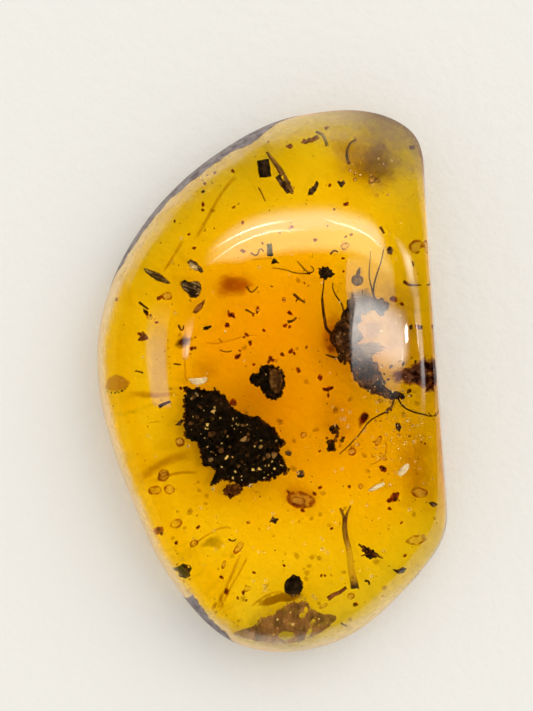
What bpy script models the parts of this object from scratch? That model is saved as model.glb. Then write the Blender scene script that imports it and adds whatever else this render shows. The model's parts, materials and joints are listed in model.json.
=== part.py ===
"""Amber with an insect inclusion.

A domed pebble of clear amber, nearly flat underneath, sawn along its right side and ground to a flat spot
in the middle of its underside.
An insect, a clump of frass and scraps of plant lie in pockets at one level, where the stone is parted in two.
Metres, +Z up, +Y along the stone, origin on the flat spot at the middle of the stone's box.
"""

import math

import bmesh
import bpy
from mathutils import Euler, Matrix, Vector, noise

MM = 0.001

# The stone. Its outline, as it was before it was sawn, is the distance from the middle every 20 degrees
# from +X, in millimetres.
OUTLINE = (12.2, 12.9, 14.6, 16.3, 15.0, 13.0, 11.5, 10.5, 9.85,
           9.4, 9.4, 10.2, 12.2, 14.6, 14.85, 13.7, 12.8, 12.0)
GIRDLE_HEIGHT = 1.9
CROWN_RISE = 5.2
BELLY_DROP = 1.965
CROWN_FULLNESS = 2.3
BELLY_FULLNESS = 5.0
SAWN_SIDE = 9.45
SAW_LEAN = 0.13
SAW_ROUND = 0.8
FOOT_ROUND = 0.05
STONE_SEGMENTS = 54
STONE_RINGS = 18

# Where the stone is parted, through the level that holds the inclusions. A slab that takes in one half goes
# from the parting to well outside the stone.
LAYER = 2.5
PARTING_GAP = 0.3
SLAB_WIDTH = 40.0
BELOW_STONE = -5.0
ABOVE_STONE = 20.0
POCKET_CLEARANCE = 0.3
POCKET_SIDES = 12

# Insect: each swelling of the body as x, y, half length, half width, half height, turn in degrees
HEAD = (6.12, 3.72, 0.48, 0.36, 0.40, 100)
NECK = (5.45, 3.75, 0.62, 0.36, 0.42, 5)
FORE_THORAX = (4.72, 3.12, 0.85, 0.62, 0.60, 50)
HIND_THORAX = (4.32, 1.98, 0.95, 0.72, 0.66, 100)
WAIST = (4.55, 1.02, 0.60, 0.50, 0.52, 115)
ABDOMEN = (4.98, 0.18, 1.05, 0.72, 0.62, 128)
TAIL = (5.85, -0.82, 0.78, 0.28, 0.34, -16)
WING = (5.45, 1.50, 0.90, 0.36, 0.12, -8)
ANTENNA_RADIUS = 0.05
LEG_RADIUS = 0.09
LEFT_ANTENNA = ((5.92, 3.95), (5.80, 4.60), (5.70, 5.30), (5.70, 6.10), (5.82, 6.80))
RIGHT_ANTENNA = ((6.18, 3.95), (5.98, 4.62), (6.05, 5.30), (6.26, 6.00), (6.48, 6.85))
FRONT_LEG = ((3.90, 2.40), (3.50, 2.58), (3.22, 2.95), (3.14, 3.70), (3.14, 4.40), (3.24, 5.05))
SHORT_LEG = ((4.10, 1.52), (3.60, 1.38), (3.20, 1.45), (2.95, 1.62))
LEFT_HIND_LEG = ((6.15, -0.85), (6.02, -1.55), (5.10, -2.28), (4.62, -2.78), (3.60, -3.84))
RIGHT_HIND_LEG = ((6.30, -0.90), (6.75, -1.50), (7.20, -1.78), (7.85, -1.98), (8.35, -1.98))
KNEE_KNOT = (6.02, -1.55, 0.17, 0.15, 0.14, 0)
SWELLINGS = {
    "head": HEAD,
    "neck": NECK,
    "fore_thorax": FORE_THORAX,
    "waist": WAIST,
    "abdomen": ABDOMEN,
    "tail": TAIL,
    "wing": WING,
    "knee_knot": KNEE_KNOT,
}
LIMBS = {
    "left_antenna": (LEFT_ANTENNA, ANTENNA_RADIUS),
    "right_antenna": (RIGHT_ANTENNA, ANTENNA_RADIUS),
    "front_leg": (FRONT_LEG, LEG_RADIUS),
    "short_leg": (SHORT_LEG, LEG_RADIUS),
    "left_hind_leg": (LEFT_HIND_LEG, ANTENNA_RADIUS),
    "right_hind_leg": (RIGHT_HIND_LEG, ANTENNA_RADIUS),
}

# Lumps: middle, and distance to the edge at equal steps of angle from +X
FRASS_MIDDLE = (-2.2, -2.7)
FRASS_OUTLINE = (2.4, 2.0, 1.8, 1.4, 1.4, 1.45, 2.0, 2.6, 3.1, 2.8, 2.4, 2.1,
                 1.5, 1.4, 1.6, 2.3, 1.6, 2.1, 2.1, 2.4, 2.6, 3.0, 3.0, 2.6)
SMALL_CLUMP_MIDDLE = (0.03, 0.19)
SMALL_CLUMP_OUTLINE = (0.7, 0.7, 0.65, 0.75, 0.9, 0.75, 0.8, 0.9, 0.9, 0.55, 0.4, 0.5, 0.85, 0.95, 0.8, 0.7)
CHARRED_MIDDLE = (0.55, -10.71)
CHARRED_OUTLINE = (0.44, 0.43, 0.48, 0.50, 0.43, 0.38, 0.35, 0.51, 0.58, 0.35, 0.44, 0.45)
RED_MASS_MIDDLE = (7.5, 0.05)
RED_MASS_OUTLINE = (1.0, 1.1, 0.8, 0.6, 0.7, 0.7, 0.9, 1.2, 0.7, 0.45, 0.45, 0.5, 0.7, 1.0)
CLUSTER_MIDDLE = (3.2, -2.95)
CLUSTER_OUTLINE = (0.35, 0.4, 0.5, 0.3, 0.25, 0.3, 0.4, 0.5, 0.45, 0.3)
ORANGE_MIDDLE = (-2.15, -5.62)
ORANGE_OUTLINE = (0.42, 0.3, 0.22, 0.25, 0.4, 0.5, 0.4, 0.24, 0.2, 0.25)
RAGGED_MIDDLE = (3.47, 5.80)
RAGGED_OUTLINE = (0.32, 0.28, 0.42, 0.26, 0.36, 0.44, 0.30, 0.46,
                  0.36, 0.38, 0.26, 0.30, 0.24, 0.30, 0.46, 0.40)
SEED_MIDDLE = (-3.52, 5.28)
SEED_OUTLINE = (0.46, 0.36, 0.30, 0.34, 0.48, 0.44, 0.34, 0.28, 0.36, 0.40)
LUMP_FULLNESS = 2.6
LUMP_EVEN_TOP = 1.6
COARSE_GRAIN = 2.6
MIDDLE_GRAIN = 4.0
FINE_GRAIN = 5.0

# Flakes: corners in the plan, and thickness
SQUARE_FLAKE = ((0.46, 11.84), (1.02, 11.80), (1.04, 10.90), (0.50, 11.02))
SPLINTER = ((1.08, 12.24), (1.24, 12.10), (1.70, 11.35), (1.84, 10.98), (1.98, 10.36),
            (1.88, 10.06), (1.64, 10.05), (1.36, 10.98), (1.48, 11.14), (1.26, 11.66))
OBLONG_FLAKE = ((0.54, 7.46), (0.86, 7.48), (0.78, 7.20), (0.84, 6.84), (0.48, 6.76), (0.58, 7.05))
WINGED_FLAKE = ((4.20, -8.90), (4.42, -8.93), (4.60, -9.15), (4.86, -9.22), (5.20, -9.54), (4.88, -9.50),
                (4.60, -9.56), (4.32, -9.42), (4.42, -9.30), (4.26, -9.14))
GREY_FLAKE = ((-5.58, -9.42), (-5.18, -9.34), (-4.95, -9.19), (-4.70, -9.20), (-4.50, -9.30), (-4.64, -9.56),
              (-4.65, -9.84), (-4.95, -9.92), (-5.16, -9.76), (-5.12, -9.56))
TWO_TONE_CHIP = ((-3.70, 6.72), (-3.50, 6.88), (-3.20, 6.62), (-2.96, 6.40), (-2.80, 6.14), (-2.96, 6.02),
                 (-3.24, 6.30), (-3.50, 6.56))
FILM = ((-1.78, -12.96), (-1.54, -12.56), (-1.16, -12.32), (-0.80, -12.14), (-0.44, -11.90), (0.0, -12.04),
        (0.30, -11.72), (0.74, -11.62), (1.20, -11.90), (1.56, -12.14), (2.04, -12.38), (2.70, -12.78),
        (1.86, -13.36), (1.12, -13.66), (0.0, -13.88), (-0.9, -13.68), (-1.5, -13.38))
FLAKE_THICKNESS = 0.20
FILM_THICKNESS = 0.16
FLAKE_WEAR = 0.04
FILM_WEAR = 0.03

# Twigs and stalks: points along the middle, and radius at each point
STALK = ((3.50, -6.90), (3.42, -7.40), (3.40, -8.12), (3.48, -9.06), (3.58, -9.90), (3.63, -10.50),
         (3.68, -11.00))
STALK_RADII = (0.08, 0.10, 0.17, 0.20, 0.22, 0.24, 0.12)
RED_TWIG = ((2.28, -11.56), (2.60, -11.40), (2.98, -11.22), (3.24, -11.00))
RED_TWIG_RADII = (0.09, 0.13, 0.12, 0.06)
BENT_TWIG = ((3.72, 13.10), (3.92, 12.95), (4.04, 12.72), (4.12, 12.42))
BENT_TWIG_RADII = (0.07, 0.10, 0.11, 0.08)
FILAMENT = ((5.62, 12.62), (5.32, 12.48), (5.14, 12.20), (5.08, 11.85), (5.18, 11.42))
FILAMENT_RADII = (0.04, 0.07, 0.09, 0.09, 0.05)

# Husk and the round body with its little stalk
HUSK_ENDS = ((-5.82, 6.40), (-4.60, 5.66))
HUSK_HALF_WIDTH = 0.22
HUSK_HALF_HEIGHT = 0.154
BALL_MIDDLE = (5.02, 5.27)
BALL_RADIUS = 0.32
BALL_STALK = ((5.06, 5.45), (5.12, 5.72), (5.22, 5.95))
BALL_STALK_RADII = (0.12, 0.10, 0.03)

# Colours: linear red, green, blue and roughness
AMBER_COLOUR = (0.78, 0.33, 0.01, 0.05)
INSECT_COLOUR = (0.06, 0.02, 0.008, 0.45)
BLACK = (0.008, 0.006, 0.005, 0.6)
DARK_BROWN = (0.035, 0.014, 0.006, 0.6)
RED_BROWN = (0.16, 0.035, 0.012, 0.6)
ORANGE_BROWN = (0.22, 0.06, 0.010, 0.6)
TAN = (0.26, 0.11, 0.03, 0.6)
GREY = (0.10, 0.08, 0.06, 0.6)
OLIVE = (0.12, 0.08, 0.015, 0.5)


def clear_scene():
    for obj in list(bpy.data.objects):
        bpy.data.objects.remove(obj, do_unlink=True)


def new_collection(name):
    collection = bpy.data.collections.new(name)
    bpy.context.scene.collection.children.link(collection)
    return collection


def material(name, colour, alpha=1.0):
    made = bpy.data.materials.new(name)
    made.use_nodes = True
    shader = made.node_tree.nodes["Principled BSDF"]
    shader.inputs["Base Color"].default_value = (*colour[:3], 1.0)
    shader.inputs["Roughness"].default_value = colour[3]
    shader.inputs["Metallic"].default_value = 0.0
    shader.inputs["Alpha"].default_value = alpha
    return made


def named_object(name, bm, collection, finish=None):
    """Object from a bmesh in millimetres, in metres, smooth except at real edges."""
    bmesh.ops.scale(bm, vec=(MM, MM, MM), verts=bm.verts)
    mesh = bpy.data.meshes.new(name)
    bm.to_mesh(mesh)
    bm.free()
    mesh.shade_smooth()
    mesh.set_sharp_from_angle(angle=math.radians(40))
    if finish:
        mesh.materials.append(finish)
    obj = bpy.data.objects.new(name, mesh)
    collection.objects.link(obj)
    return obj


def make_cutter(obj):
    obj.hide_render = True
    obj.display_type = "WIRE"
    return obj


def smooth_min(a, b, reach):
    """The smaller of two values, rounded over where they are within reach of each other."""
    overlap = max(reach - abs(a - b), 0.0)
    return min(a, b) - overlap * overlap / (4 * reach)


def smooth_max(a, b, reach):
    return -smooth_min(-a, -b, reach)


def smooth_between(before, near, far, after, part):
    """Value part of the way from near to far, on a smooth curve through all four."""
    slope = far - before
    bend = 2 * before - 5 * near + 4 * far - after
    twist = 3 * (near - far) + after - before
    return near + 0.5 * part * (slope + part * (bend + part * twist))


def outline_radius(outline, angle):
    """Smooth closed curve through radii given at equal steps of angle."""
    place = (angle / math.tau) % 1.0 * len(outline)
    step = int(place) % len(outline)
    four = [outline[(step + i) % len(outline)] for i in (-1, 0, 1, 2)]
    return smooth_between(*four, place - int(place))


def moulded_sphere(outline, rise, drop, fullness_up, fullness_down, segments, rings, even_top=0.0):
    """Sphere pressed into a pebble with this outline at its girdle, which lies at height 0.

    With an even top the outline's points and hollows fade out towards the poles.
    """
    bm = bmesh.new()
    bmesh.ops.create_uvsphere(bm, u_segments=segments, v_segments=rings, radius=1.0)
    mean = sum(outline) / len(outline)
    for vert in bm.verts:
        spread = min(math.hypot(vert.co.x, vert.co.y), 1.0)
        angle = math.atan2(vert.co.y, vert.co.x)
        fullness = fullness_up if vert.co.z > 0 else fullness_down
        radius = mean + (outline_radius(outline, angle) - mean) * spread ** even_top
        reach = radius * spread ** (2 / fullness)
        height = abs(vert.co.z) ** (2 / fullness) * (rise if vert.co.z > 0 else -drop)
        vert.co = (reach * math.cos(angle), reach * math.sin(angle), height)
    return bm


def whole_stone():
    """The pebble, sawn and ground. The sawn face is upright as far as the parting and leans in above it."""
    bm = moulded_sphere(OUTLINE, CROWN_RISE, BELLY_DROP, CROWN_FULLNESS, BELLY_FULLNESS,
                        STONE_SEGMENTS, STONE_RINGS)
    for vert in bm.verts:
        vert.co.z = smooth_max(vert.co.z + GIRDLE_HEIGHT, 0.0, FOOT_ROUND)
        lean = SAW_LEAN * max(vert.co.z - LAYER, 0.0)
        vert.co.x = smooth_min(vert.co.x, SAWN_SIDE - lean, SAW_ROUND)
    for axis in (0, 1):
        low = min(vert.co[axis] for vert in bm.verts)
        high = max(vert.co[axis] for vert in bm.verts)
        for vert in bm.verts:
            vert.co[axis] -= (low + high) / 2
    return bm


def half_stone(name, low, high, pockets, finish, collection, cutters):
    """The part of the stone between two heights, with its side of each pocket cut out."""
    half = named_object(name, whole_stone(), collection, finish)
    bm = bmesh.new()
    bmesh.ops.create_cube(bm, size=1.0)
    bmesh.ops.scale(bm, vec=(SLAB_WIDTH, SLAB_WIDTH, high - low), verts=bm.verts)
    bmesh.ops.translate(bm, vec=(0, 0, (low + high) / 2), verts=bm.verts)
    slab = make_cutter(named_object(name + "_slab", bm, cutters))
    keep = half.modifiers.new("keep this side", "BOOLEAN")
    keep.operation = "INTERSECT"
    keep.solver = "EXACT"
    keep.object = slab
    hollow = half.modifiers.new("pockets", "BOOLEAN")
    hollow.operation = "DIFFERENCE"
    hollow.solver = "EXACT"
    hollow.operand_type = "COLLECTION"
    hollow.collection = pockets
    return half


def lump(name, middle, outline, half_height, crumb, grain, finish, collection, segments=14, rings=7):
    """Rough lump with this outline, its surface broken up by noise that stands out by the crumb."""
    bm = moulded_sphere(outline, half_height, half_height, LUMP_FULLNESS, LUMP_FULLNESS,
                        segments, rings, LUMP_EVEN_TOP)
    for vert in bm.verts:
        seed = Vector((middle[0], middle[1], 0.0)) + vert.co
        vert.co += vert.co.normalized() * crumb * noise.noise(seed * grain)
    bmesh.ops.translate(bm, vec=(middle[0], middle[1], LAYER), verts=bm.verts)
    return named_object(name, bm, collection, finish)


def ellipsoid(name, shape, collection, finish=None, segments=12, rings=6):
    """Egg shape given as x, y, half length, half width, half height and turn."""
    x, y, half_length, half_width, half_height, turn = shape
    bm = bmesh.new()
    bmesh.ops.create_uvsphere(bm, u_segments=segments, v_segments=rings, radius=1.0)
    size = Matrix.Diagonal((half_length, half_width, half_height, 1.0))
    turned = Matrix.Rotation(math.radians(turn), 4, "Z")
    place = Matrix.Translation((x, y, LAYER))
    bmesh.ops.transform(bm, matrix=place @ turned @ size, verts=bm.verts)
    return named_object(name, bm, collection, finish)


def smooth_route(points, radii, steps):
    """Points and radii along a smooth curve through those given."""
    knots = [(*point, radius) for point, radius in zip(points, radii)]
    knots = [knots[0], *knots, knots[-1]]
    route = []
    for i in range(len(points) - 1):
        for step in range(steps):
            route.append([smooth_between(*four, step / steps) for four in zip(*knots[i:i + 4])])
    route.append(knots[-1])
    return route


def solid_from_curve(curve, collection):
    """The closed mesh that a curve in metres draws, as a bmesh in millimetres."""
    drawn = bpy.data.objects.new(curve.name, curve)
    collection.objects.link(drawn)
    graph = bpy.context.evaluated_depsgraph_get()
    mesh = bpy.data.meshes.new_from_object(drawn.evaluated_get(graph))
    bpy.data.objects.remove(drawn, do_unlink=True)
    bm = bmesh.new()
    bm.from_mesh(mesh)
    bpy.data.meshes.remove(mesh)
    bmesh.ops.remove_doubles(bm, verts=bm.verts, dist=1e-6)
    bmesh.ops.recalc_face_normals(bm, faces=bm.faces)
    bmesh.ops.scale(bm, vec=(1 / MM, 1 / MM, 1 / MM), verts=bm.verts)
    return bm


def stalk(name, points, radii, collection, finish=None, steps=2, extra=0.0, rounding=1):
    """Tapered stem along the points, lying in the layer. It is a curve with a bevel, made a mesh."""
    curve = bpy.data.curves.new(name + "_curve", "CURVE")
    curve.dimensions = "3D"
    curve.bevel_depth = MM
    curve.bevel_resolution = rounding
    curve.use_fill_caps = True
    spline = curve.splines.new("POLY")
    route = smooth_route(points, radii, steps)
    spline.points.add(len(route) - 1)
    for point, (x, y, radius) in zip(spline.points, route):
        point.co = (x * MM, y * MM, LAYER * MM, 1.0)
        point.radius = radius + extra
    bm = solid_from_curve(curve, collection)
    return named_object(name, bm, collection, finish)


def flake(name, corners, finish, collection, tilt=(0.0, 0.0), thickness=FLAKE_THICKNESS, wear=FLAKE_WEAR):
    """Flat scrap with these corners, its rims bevelled, tilted a little about its middle."""
    curve = bpy.data.curves.new(name + "_curve", "CURVE")
    curve.dimensions = "2D"
    curve.fill_mode = "BOTH"
    curve.extrude = thickness / 2 * MM
    spline = curve.splines.new("POLY")
    spline.points.add(len(corners) - 1)
    spline.use_cyclic_u = True
    middle = Vector([sum(corner[axis] for corner in corners) / len(corners) for axis in (0, 1)])
    for point, corner in zip(spline.points, corners):
        point.co = ((corner[0] - middle.x) * MM, (corner[1] - middle.y) * MM, 0.0, 1.0)
    bm = solid_from_curve(curve, collection)
    lean = Euler((math.radians(tilt[0]), math.radians(tilt[1]), 0.0)).to_matrix().to_4x4()
    place = Matrix.Translation((middle.x, middle.y, LAYER))
    bmesh.ops.transform(bm, matrix=place @ lean, verts=bm.verts)
    made = named_object(name, bm, collection, finish)
    rim = made.modifiers.new("worn rim", "BEVEL")
    rim.width = wear * MM
    rim.segments = 1
    rim.limit_method = "ANGLE"
    return made


def joined(name, first, others, finish):
    """Union of one object with a collection of pieces that overlap it."""
    first.name = name
    first.data.materials.clear()
    first.data.materials.append(finish)
    union = first.modifiers.new("grown together", "BOOLEAN")
    union.operation = "UNION"
    union.solver = "EXACT"
    union.operand_type = "COLLECTION"
    union.collection = others
    for piece in others.objects:
        make_cutter(piece)
    return first


def insect(finish, collection):
    """The curled body with its wing scrap, legs and antennae grown on it."""
    limbs = new_collection("insect_limbs")
    body = ellipsoid("insect", HIND_THORAX, collection)
    for name, shape in SWELLINGS.items():
        ellipsoid("insect_" + name, shape, limbs)
    for name, (points, radius) in LIMBS.items():
        stalk("insect_" + name, points, tapered(points, radius), limbs)
    return joined("insect", body, limbs, finish)


def tapered(points, radius):
    """Radii that fall to three quarters towards the tip."""
    return [radius * (1 - 0.25 * i / (len(points) - 1)) for i in range(len(points))]


def ball_with_stalk(finish, collection):
    stems = new_collection("ball_stem")
    ball = ellipsoid("round_ball", (*BALL_MIDDLE, BALL_RADIUS, BALL_RADIUS, BALL_RADIUS, 0), collection)
    stalk("ball_stem_piece", BALL_STALK, BALL_STALK_RADII, stems)
    return joined("round_ball", ball, stems, finish)


def seed_husk(finish, collection):
    (x0, y0), (x1, y1) = HUSK_ENDS
    half_length = math.hypot(x1 - x0, y1 - y0) / 2
    turn = math.degrees(math.atan2(y1 - y0, x1 - x0))
    shape = ((x0 + x1) / 2, (y0 + y1) / 2, half_length, HUSK_HALF_WIDTH, HUSK_HALF_HEIGHT, turn)
    return ellipsoid("seed_husk", shape, collection, finish)


def pocket(name, points, pockets):
    """Hollow around these points: a flat-sided drum drawn tight round them, the clearance away."""
    step = math.tau / POCKET_SIDES
    sides = []
    for side in range(POCKET_SIDES):
        across = Vector((math.cos(side * step), math.sin(side * step)))
        sides.append(max(across.dot(point[:2]) for point in points) + POCKET_CLEARANCE)
    low = min(point[2] for point in points) - POCKET_CLEARANCE
    high = max(point[2] for point in points) + POCKET_CLEARANCE
    bm = bmesh.new()
    bmesh.ops.create_cone(bm, cap_ends=True, segments=POCKET_SIDES, radius1=1.0, radius2=1.0,
                          depth=high - low)
    for vert in bm.verts:
        side = round(math.atan2(vert.co.y, vert.co.x) / step)
        here, after = sides[side % POCKET_SIDES], sides[(side + 1) % POCKET_SIDES]
        along = (after - here * math.cos(step)) / math.sin(step)
        corner = Vector((here, along))
        corner.rotate(Matrix.Rotation(side * step, 2))
        vert.co = (corner.x, corner.y, vert.co.z + (low + high) / 2)
    return make_cutter(named_object("pocket_" + name, bm, pockets))


def points_of(obj):
    """The object's points as modelled, in millimetres."""
    graph = bpy.context.evaluated_depsgraph_get()
    shape = obj.evaluated_get(graph)
    mesh = shape.to_mesh()
    points = [obj.matrix_world @ vert.co / MM for vert in mesh.vertices]
    shape.to_mesh_clear()
    return points


def cut_pockets(inclusions, insect_body, pockets):
    """A pocket round each inclusion, and grooves along the insect's long limbs."""
    for obj in inclusions:
        pocket(obj.name, points_of(obj), pockets)
    body_points = []
    for x, y, half_length, half_width, half_height, turn in (HIND_THORAX, *SWELLINGS.values()):
        for angle in range(0, 360, 30):
            ahead = math.radians(angle)
            edge = Vector((half_length * math.cos(ahead), half_width * math.sin(ahead)))
            edge.rotate(Matrix.Rotation(math.radians(turn), 2))
            for height in (-half_height, half_height):
                body_points.append((x + edge.x, y + edge.y, LAYER + height))
    pocket(insect_body.name, body_points, pockets)
    for name, (points, radius) in LIMBS.items():
        wide = [radius] * len(points)
        make_cutter(stalk("pocket_" + name, points, wide, pockets, extra=POCKET_CLEARANCE, steps=1))


def main():
    clear_scene()
    parts = new_collection("amber_with_insect")
    cutters = new_collection("cutters")
    pockets = new_collection("pockets")

    amber = material("amber", AMBER_COLOUR, alpha=0.35)
    insect_skin = material("insect_skin", INSECT_COLOUR)
    black_char = material("black_char", BLACK)
    dark_bark = material("dark_bark", DARK_BROWN)
    red_resin = material("red_resin", RED_BROWN)
    orange_wood = material("orange_wood", ORANGE_BROWN)
    tan_stem = material("tan_stem", TAN)
    grey_scrap = material("grey_scrap", GREY)
    olive_husk = material("olive_husk", OLIVE)

    bug = insect(insect_skin, parts)
    inclusions = [
        lump("frass_clump", FRASS_MIDDLE, FRASS_OUTLINE, 0.85, 0.34, COARSE_GRAIN, black_char, parts, 40, 11),
        lump("small_clump", SMALL_CLUMP_MIDDLE, SMALL_CLUMP_OUTLINE, 0.55, 0.18, MIDDLE_GRAIN, dark_bark,
             parts, 26, 9),
        lump("charred_lump", CHARRED_MIDDLE, CHARRED_OUTLINE, 0.40, 0.10, FINE_GRAIN, black_char, parts),
        lump("red_brown_mass", RED_MASS_MIDDLE, RED_MASS_OUTLINE, 0.50, 0.14, COARSE_GRAIN, red_resin, parts,
             20, 8),
        lump("dark_cluster", CLUSTER_MIDDLE, CLUSTER_OUTLINE, 0.30, 0.12, FINE_GRAIN, black_char, parts),
        lump("orange_fragment", ORANGE_MIDDLE, ORANGE_OUTLINE, 0.22, 0.10, FINE_GRAIN, orange_wood, parts),
        lump("ragged_flake", RAGGED_MIDDLE, RAGGED_OUTLINE, 0.14, 0.05, FINE_GRAIN, black_char, parts, 16, 6),
        lump("dark_seed", SEED_MIDDLE, SEED_OUTLINE, 0.30, 0.08, FINE_GRAIN, dark_bark, parts),
        ball_with_stalk(grey_scrap, parts),
        seed_husk(olive_husk, parts),
        flake("square_flake", SQUARE_FLAKE, black_char, parts, (6, 4)),
        flake("splinter", SPLINTER, dark_bark, parts, (-3, 6)),
        flake("oblong_flake", OBLONG_FLAKE, grey_scrap, parts, (4, -5)),
        flake("winged_flake", WINGED_FLAKE, black_char, parts, (5, 3)),
        flake("grey_flake", GREY_FLAKE, grey_scrap, parts, (-5, 4)),
        flake("two_tone_chip", TWO_TONE_CHIP, grey_scrap, parts, (4, 6)),
        flake("brown_film", FILM, tan_stem, parts, thickness=FILM_THICKNESS, wear=FILM_WEAR),
        stalk("plant_stalk", STALK, STALK_RADII, parts, tan_stem, rounding=2),
        stalk("red_brown_twig", RED_TWIG, RED_TWIG_RADII, parts, red_resin),
        stalk("bent_twig", BENT_TWIG, BENT_TWIG_RADII, parts, grey_scrap),
        stalk("curved_filament", FILAMENT, FILAMENT_RADII, parts, dark_bark),
    ]
    cut_pockets(inclusions, bug, pockets)

    half_stone("amber_base", BELOW_STONE, LAYER - PARTING_GAP / 2, pockets, amber, parts, cutters)
    half_stone("amber_crown", LAYER + PARTING_GAP / 2, ABOVE_STONE, pockets, amber, parts, cutters)


main()
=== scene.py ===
"""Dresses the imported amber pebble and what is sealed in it, for a photograph from straight above.

Lengths in the sections are millimetres, in the model's own frame, and are made metres as each piece is
finished.
"""

import json
import math

import bpy
import numpy as np
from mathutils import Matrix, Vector, noise
from mathutils.bvhtree import BVHTree

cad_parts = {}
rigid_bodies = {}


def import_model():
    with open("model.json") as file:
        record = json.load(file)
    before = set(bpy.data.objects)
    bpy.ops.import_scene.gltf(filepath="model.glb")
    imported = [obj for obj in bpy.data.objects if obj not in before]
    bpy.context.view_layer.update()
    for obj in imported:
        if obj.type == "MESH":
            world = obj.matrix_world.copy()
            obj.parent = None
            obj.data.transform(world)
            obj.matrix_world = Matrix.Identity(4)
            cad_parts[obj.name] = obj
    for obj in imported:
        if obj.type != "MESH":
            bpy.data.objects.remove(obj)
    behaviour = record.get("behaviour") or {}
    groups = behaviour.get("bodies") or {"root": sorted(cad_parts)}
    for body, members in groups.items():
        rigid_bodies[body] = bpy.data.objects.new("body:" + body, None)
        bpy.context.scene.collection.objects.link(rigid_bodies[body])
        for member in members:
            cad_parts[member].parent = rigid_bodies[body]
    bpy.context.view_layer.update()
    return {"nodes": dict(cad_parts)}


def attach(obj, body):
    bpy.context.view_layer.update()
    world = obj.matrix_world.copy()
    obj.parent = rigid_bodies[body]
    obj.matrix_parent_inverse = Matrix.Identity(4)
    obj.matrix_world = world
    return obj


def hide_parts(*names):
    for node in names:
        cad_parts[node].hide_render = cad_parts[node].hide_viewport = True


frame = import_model()

# Camera
# It hangs over the stone and looks straight down, turned so that the stone's far end leans 4 degrees to
# the left.
MM = 0.001
CAMERA_TURN = -4.0
lens_place = Vector((0.0, 1.6, 95.8))
camera_data = bpy.data.cameras.new("camera")
camera_data.lens = 85.0
camera_data.sensor_width = 36.0
camera_data.clip_start = 0.002
camera_data.clip_end = 10.0
camera = bpy.data.objects.new("camera", camera_data)
camera.location = lens_place * MM
camera.rotation_euler = (0.0, 0.0, math.radians(CAMERA_TURN))
bpy.context.scene.collection.objects.link(camera)
bpy.context.scene.camera = camera
bpy.context.scene.view_settings.view_transform = "Standard"


# Studio floor
# A sheet of off-white card, with the faint tooth of its surface. The stone lies loose on it.
class Term:
    """A number or colour that a node gives. Arithmetic on it adds Math nodes."""

    def __init__(self, nodes, socket):
        self.nodes = nodes
        self.socket = socket

    def maths(self, operation, *others):
        values = dict(enumerate((self, *others)))
        return self.nodes.add("Math", {"operation": operation}, values)

    def __add__(self, other):
        return self.maths("ADD", other)

    def __sub__(self, other):
        return self.maths("SUBTRACT", other)

    def __rsub__(self, other):
        return self * -1.0 + other

    def __mul__(self, other):
        return self.maths("MULTIPLY", other)

    def __pow__(self, other):
        return self.maths("POWER", other)

    __radd__ = __add__
    __rmul__ = __mul__

    def between(self, low, high):
        """0 below low, 1 above high, and a smooth rise from one to the other."""
        settings = {"interpolation_type": "SMOOTHSTEP"}
        return self.nodes.add("MapRange", settings, {"Value": self, "From Min": low, "From Max": high})


class Nodes:
    """The nodes of a material, a world or a lamp."""

    def __init__(self, owner):
        owner.use_nodes = True
        self.tree = owner.node_tree

    def add(self, kind, settings=None, sockets=None, output=0):
        node = self.tree.nodes.new("ShaderNode" + kind)
        for key, value in (settings or {}).items():
            if key == "stops":
                ramp = node.color_ramp
                while len(ramp.elements) < len(value):
                    ramp.elements.new(0.5)
                for step, (element, colour) in enumerate(zip(ramp.elements, value)):
                    element.position = step / (len(value) - 1)
                    element.color = (*colour, 1.0)
            else:
                setattr(node, key, value)
        for key, value in (sockets or {}).items():
            self.feed(node.inputs[key], value)
        return Term(self, node.outputs[output])

    def feed(self, socket, value):
        if isinstance(value, Term):
            self.tree.links.new(value.socket, socket)
        else:
            socket.default_value = value

    def place(self, size=1.0, offset=(0.0, 0.0, 0.0)):
        """Where a point is on the object, in units of this many millimetres."""
        spot = self.add("TexCoord", output=3)
        scale = 1.0 / (size * MM)
        return self.add("Mapping", {}, {"Vector": spot, "Scale": (scale, scale, scale), "Location": offset})

    def noise(self, size, detail=2.0, roughness=0.5, offset=(0.0, 0.0, 0.0)):
        sockets = {"Vector": self.place(size, offset), "Scale": 1.0, "Detail": detail, "Roughness": roughness}
        return self.add("TexNoise", {}, sockets)

    def ramp(self, value, *stops):
        """Colour that goes through evenly spaced stops as the value goes from 0 to 1."""
        return self.add("ValToRGB", {"stops": stops}, {0: value})

    def mixed(self, mask, low, high):
        """Colour from low to high as the mask goes from 0 to 1."""
        return self.add("Mix", {"data_type": "RGBA"}, {0: mask, 6: low, 7: high}, output=2)

    def attribute(self, name):
        return self.add("Attribute", {"attribute_name": name}, output=2)


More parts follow.
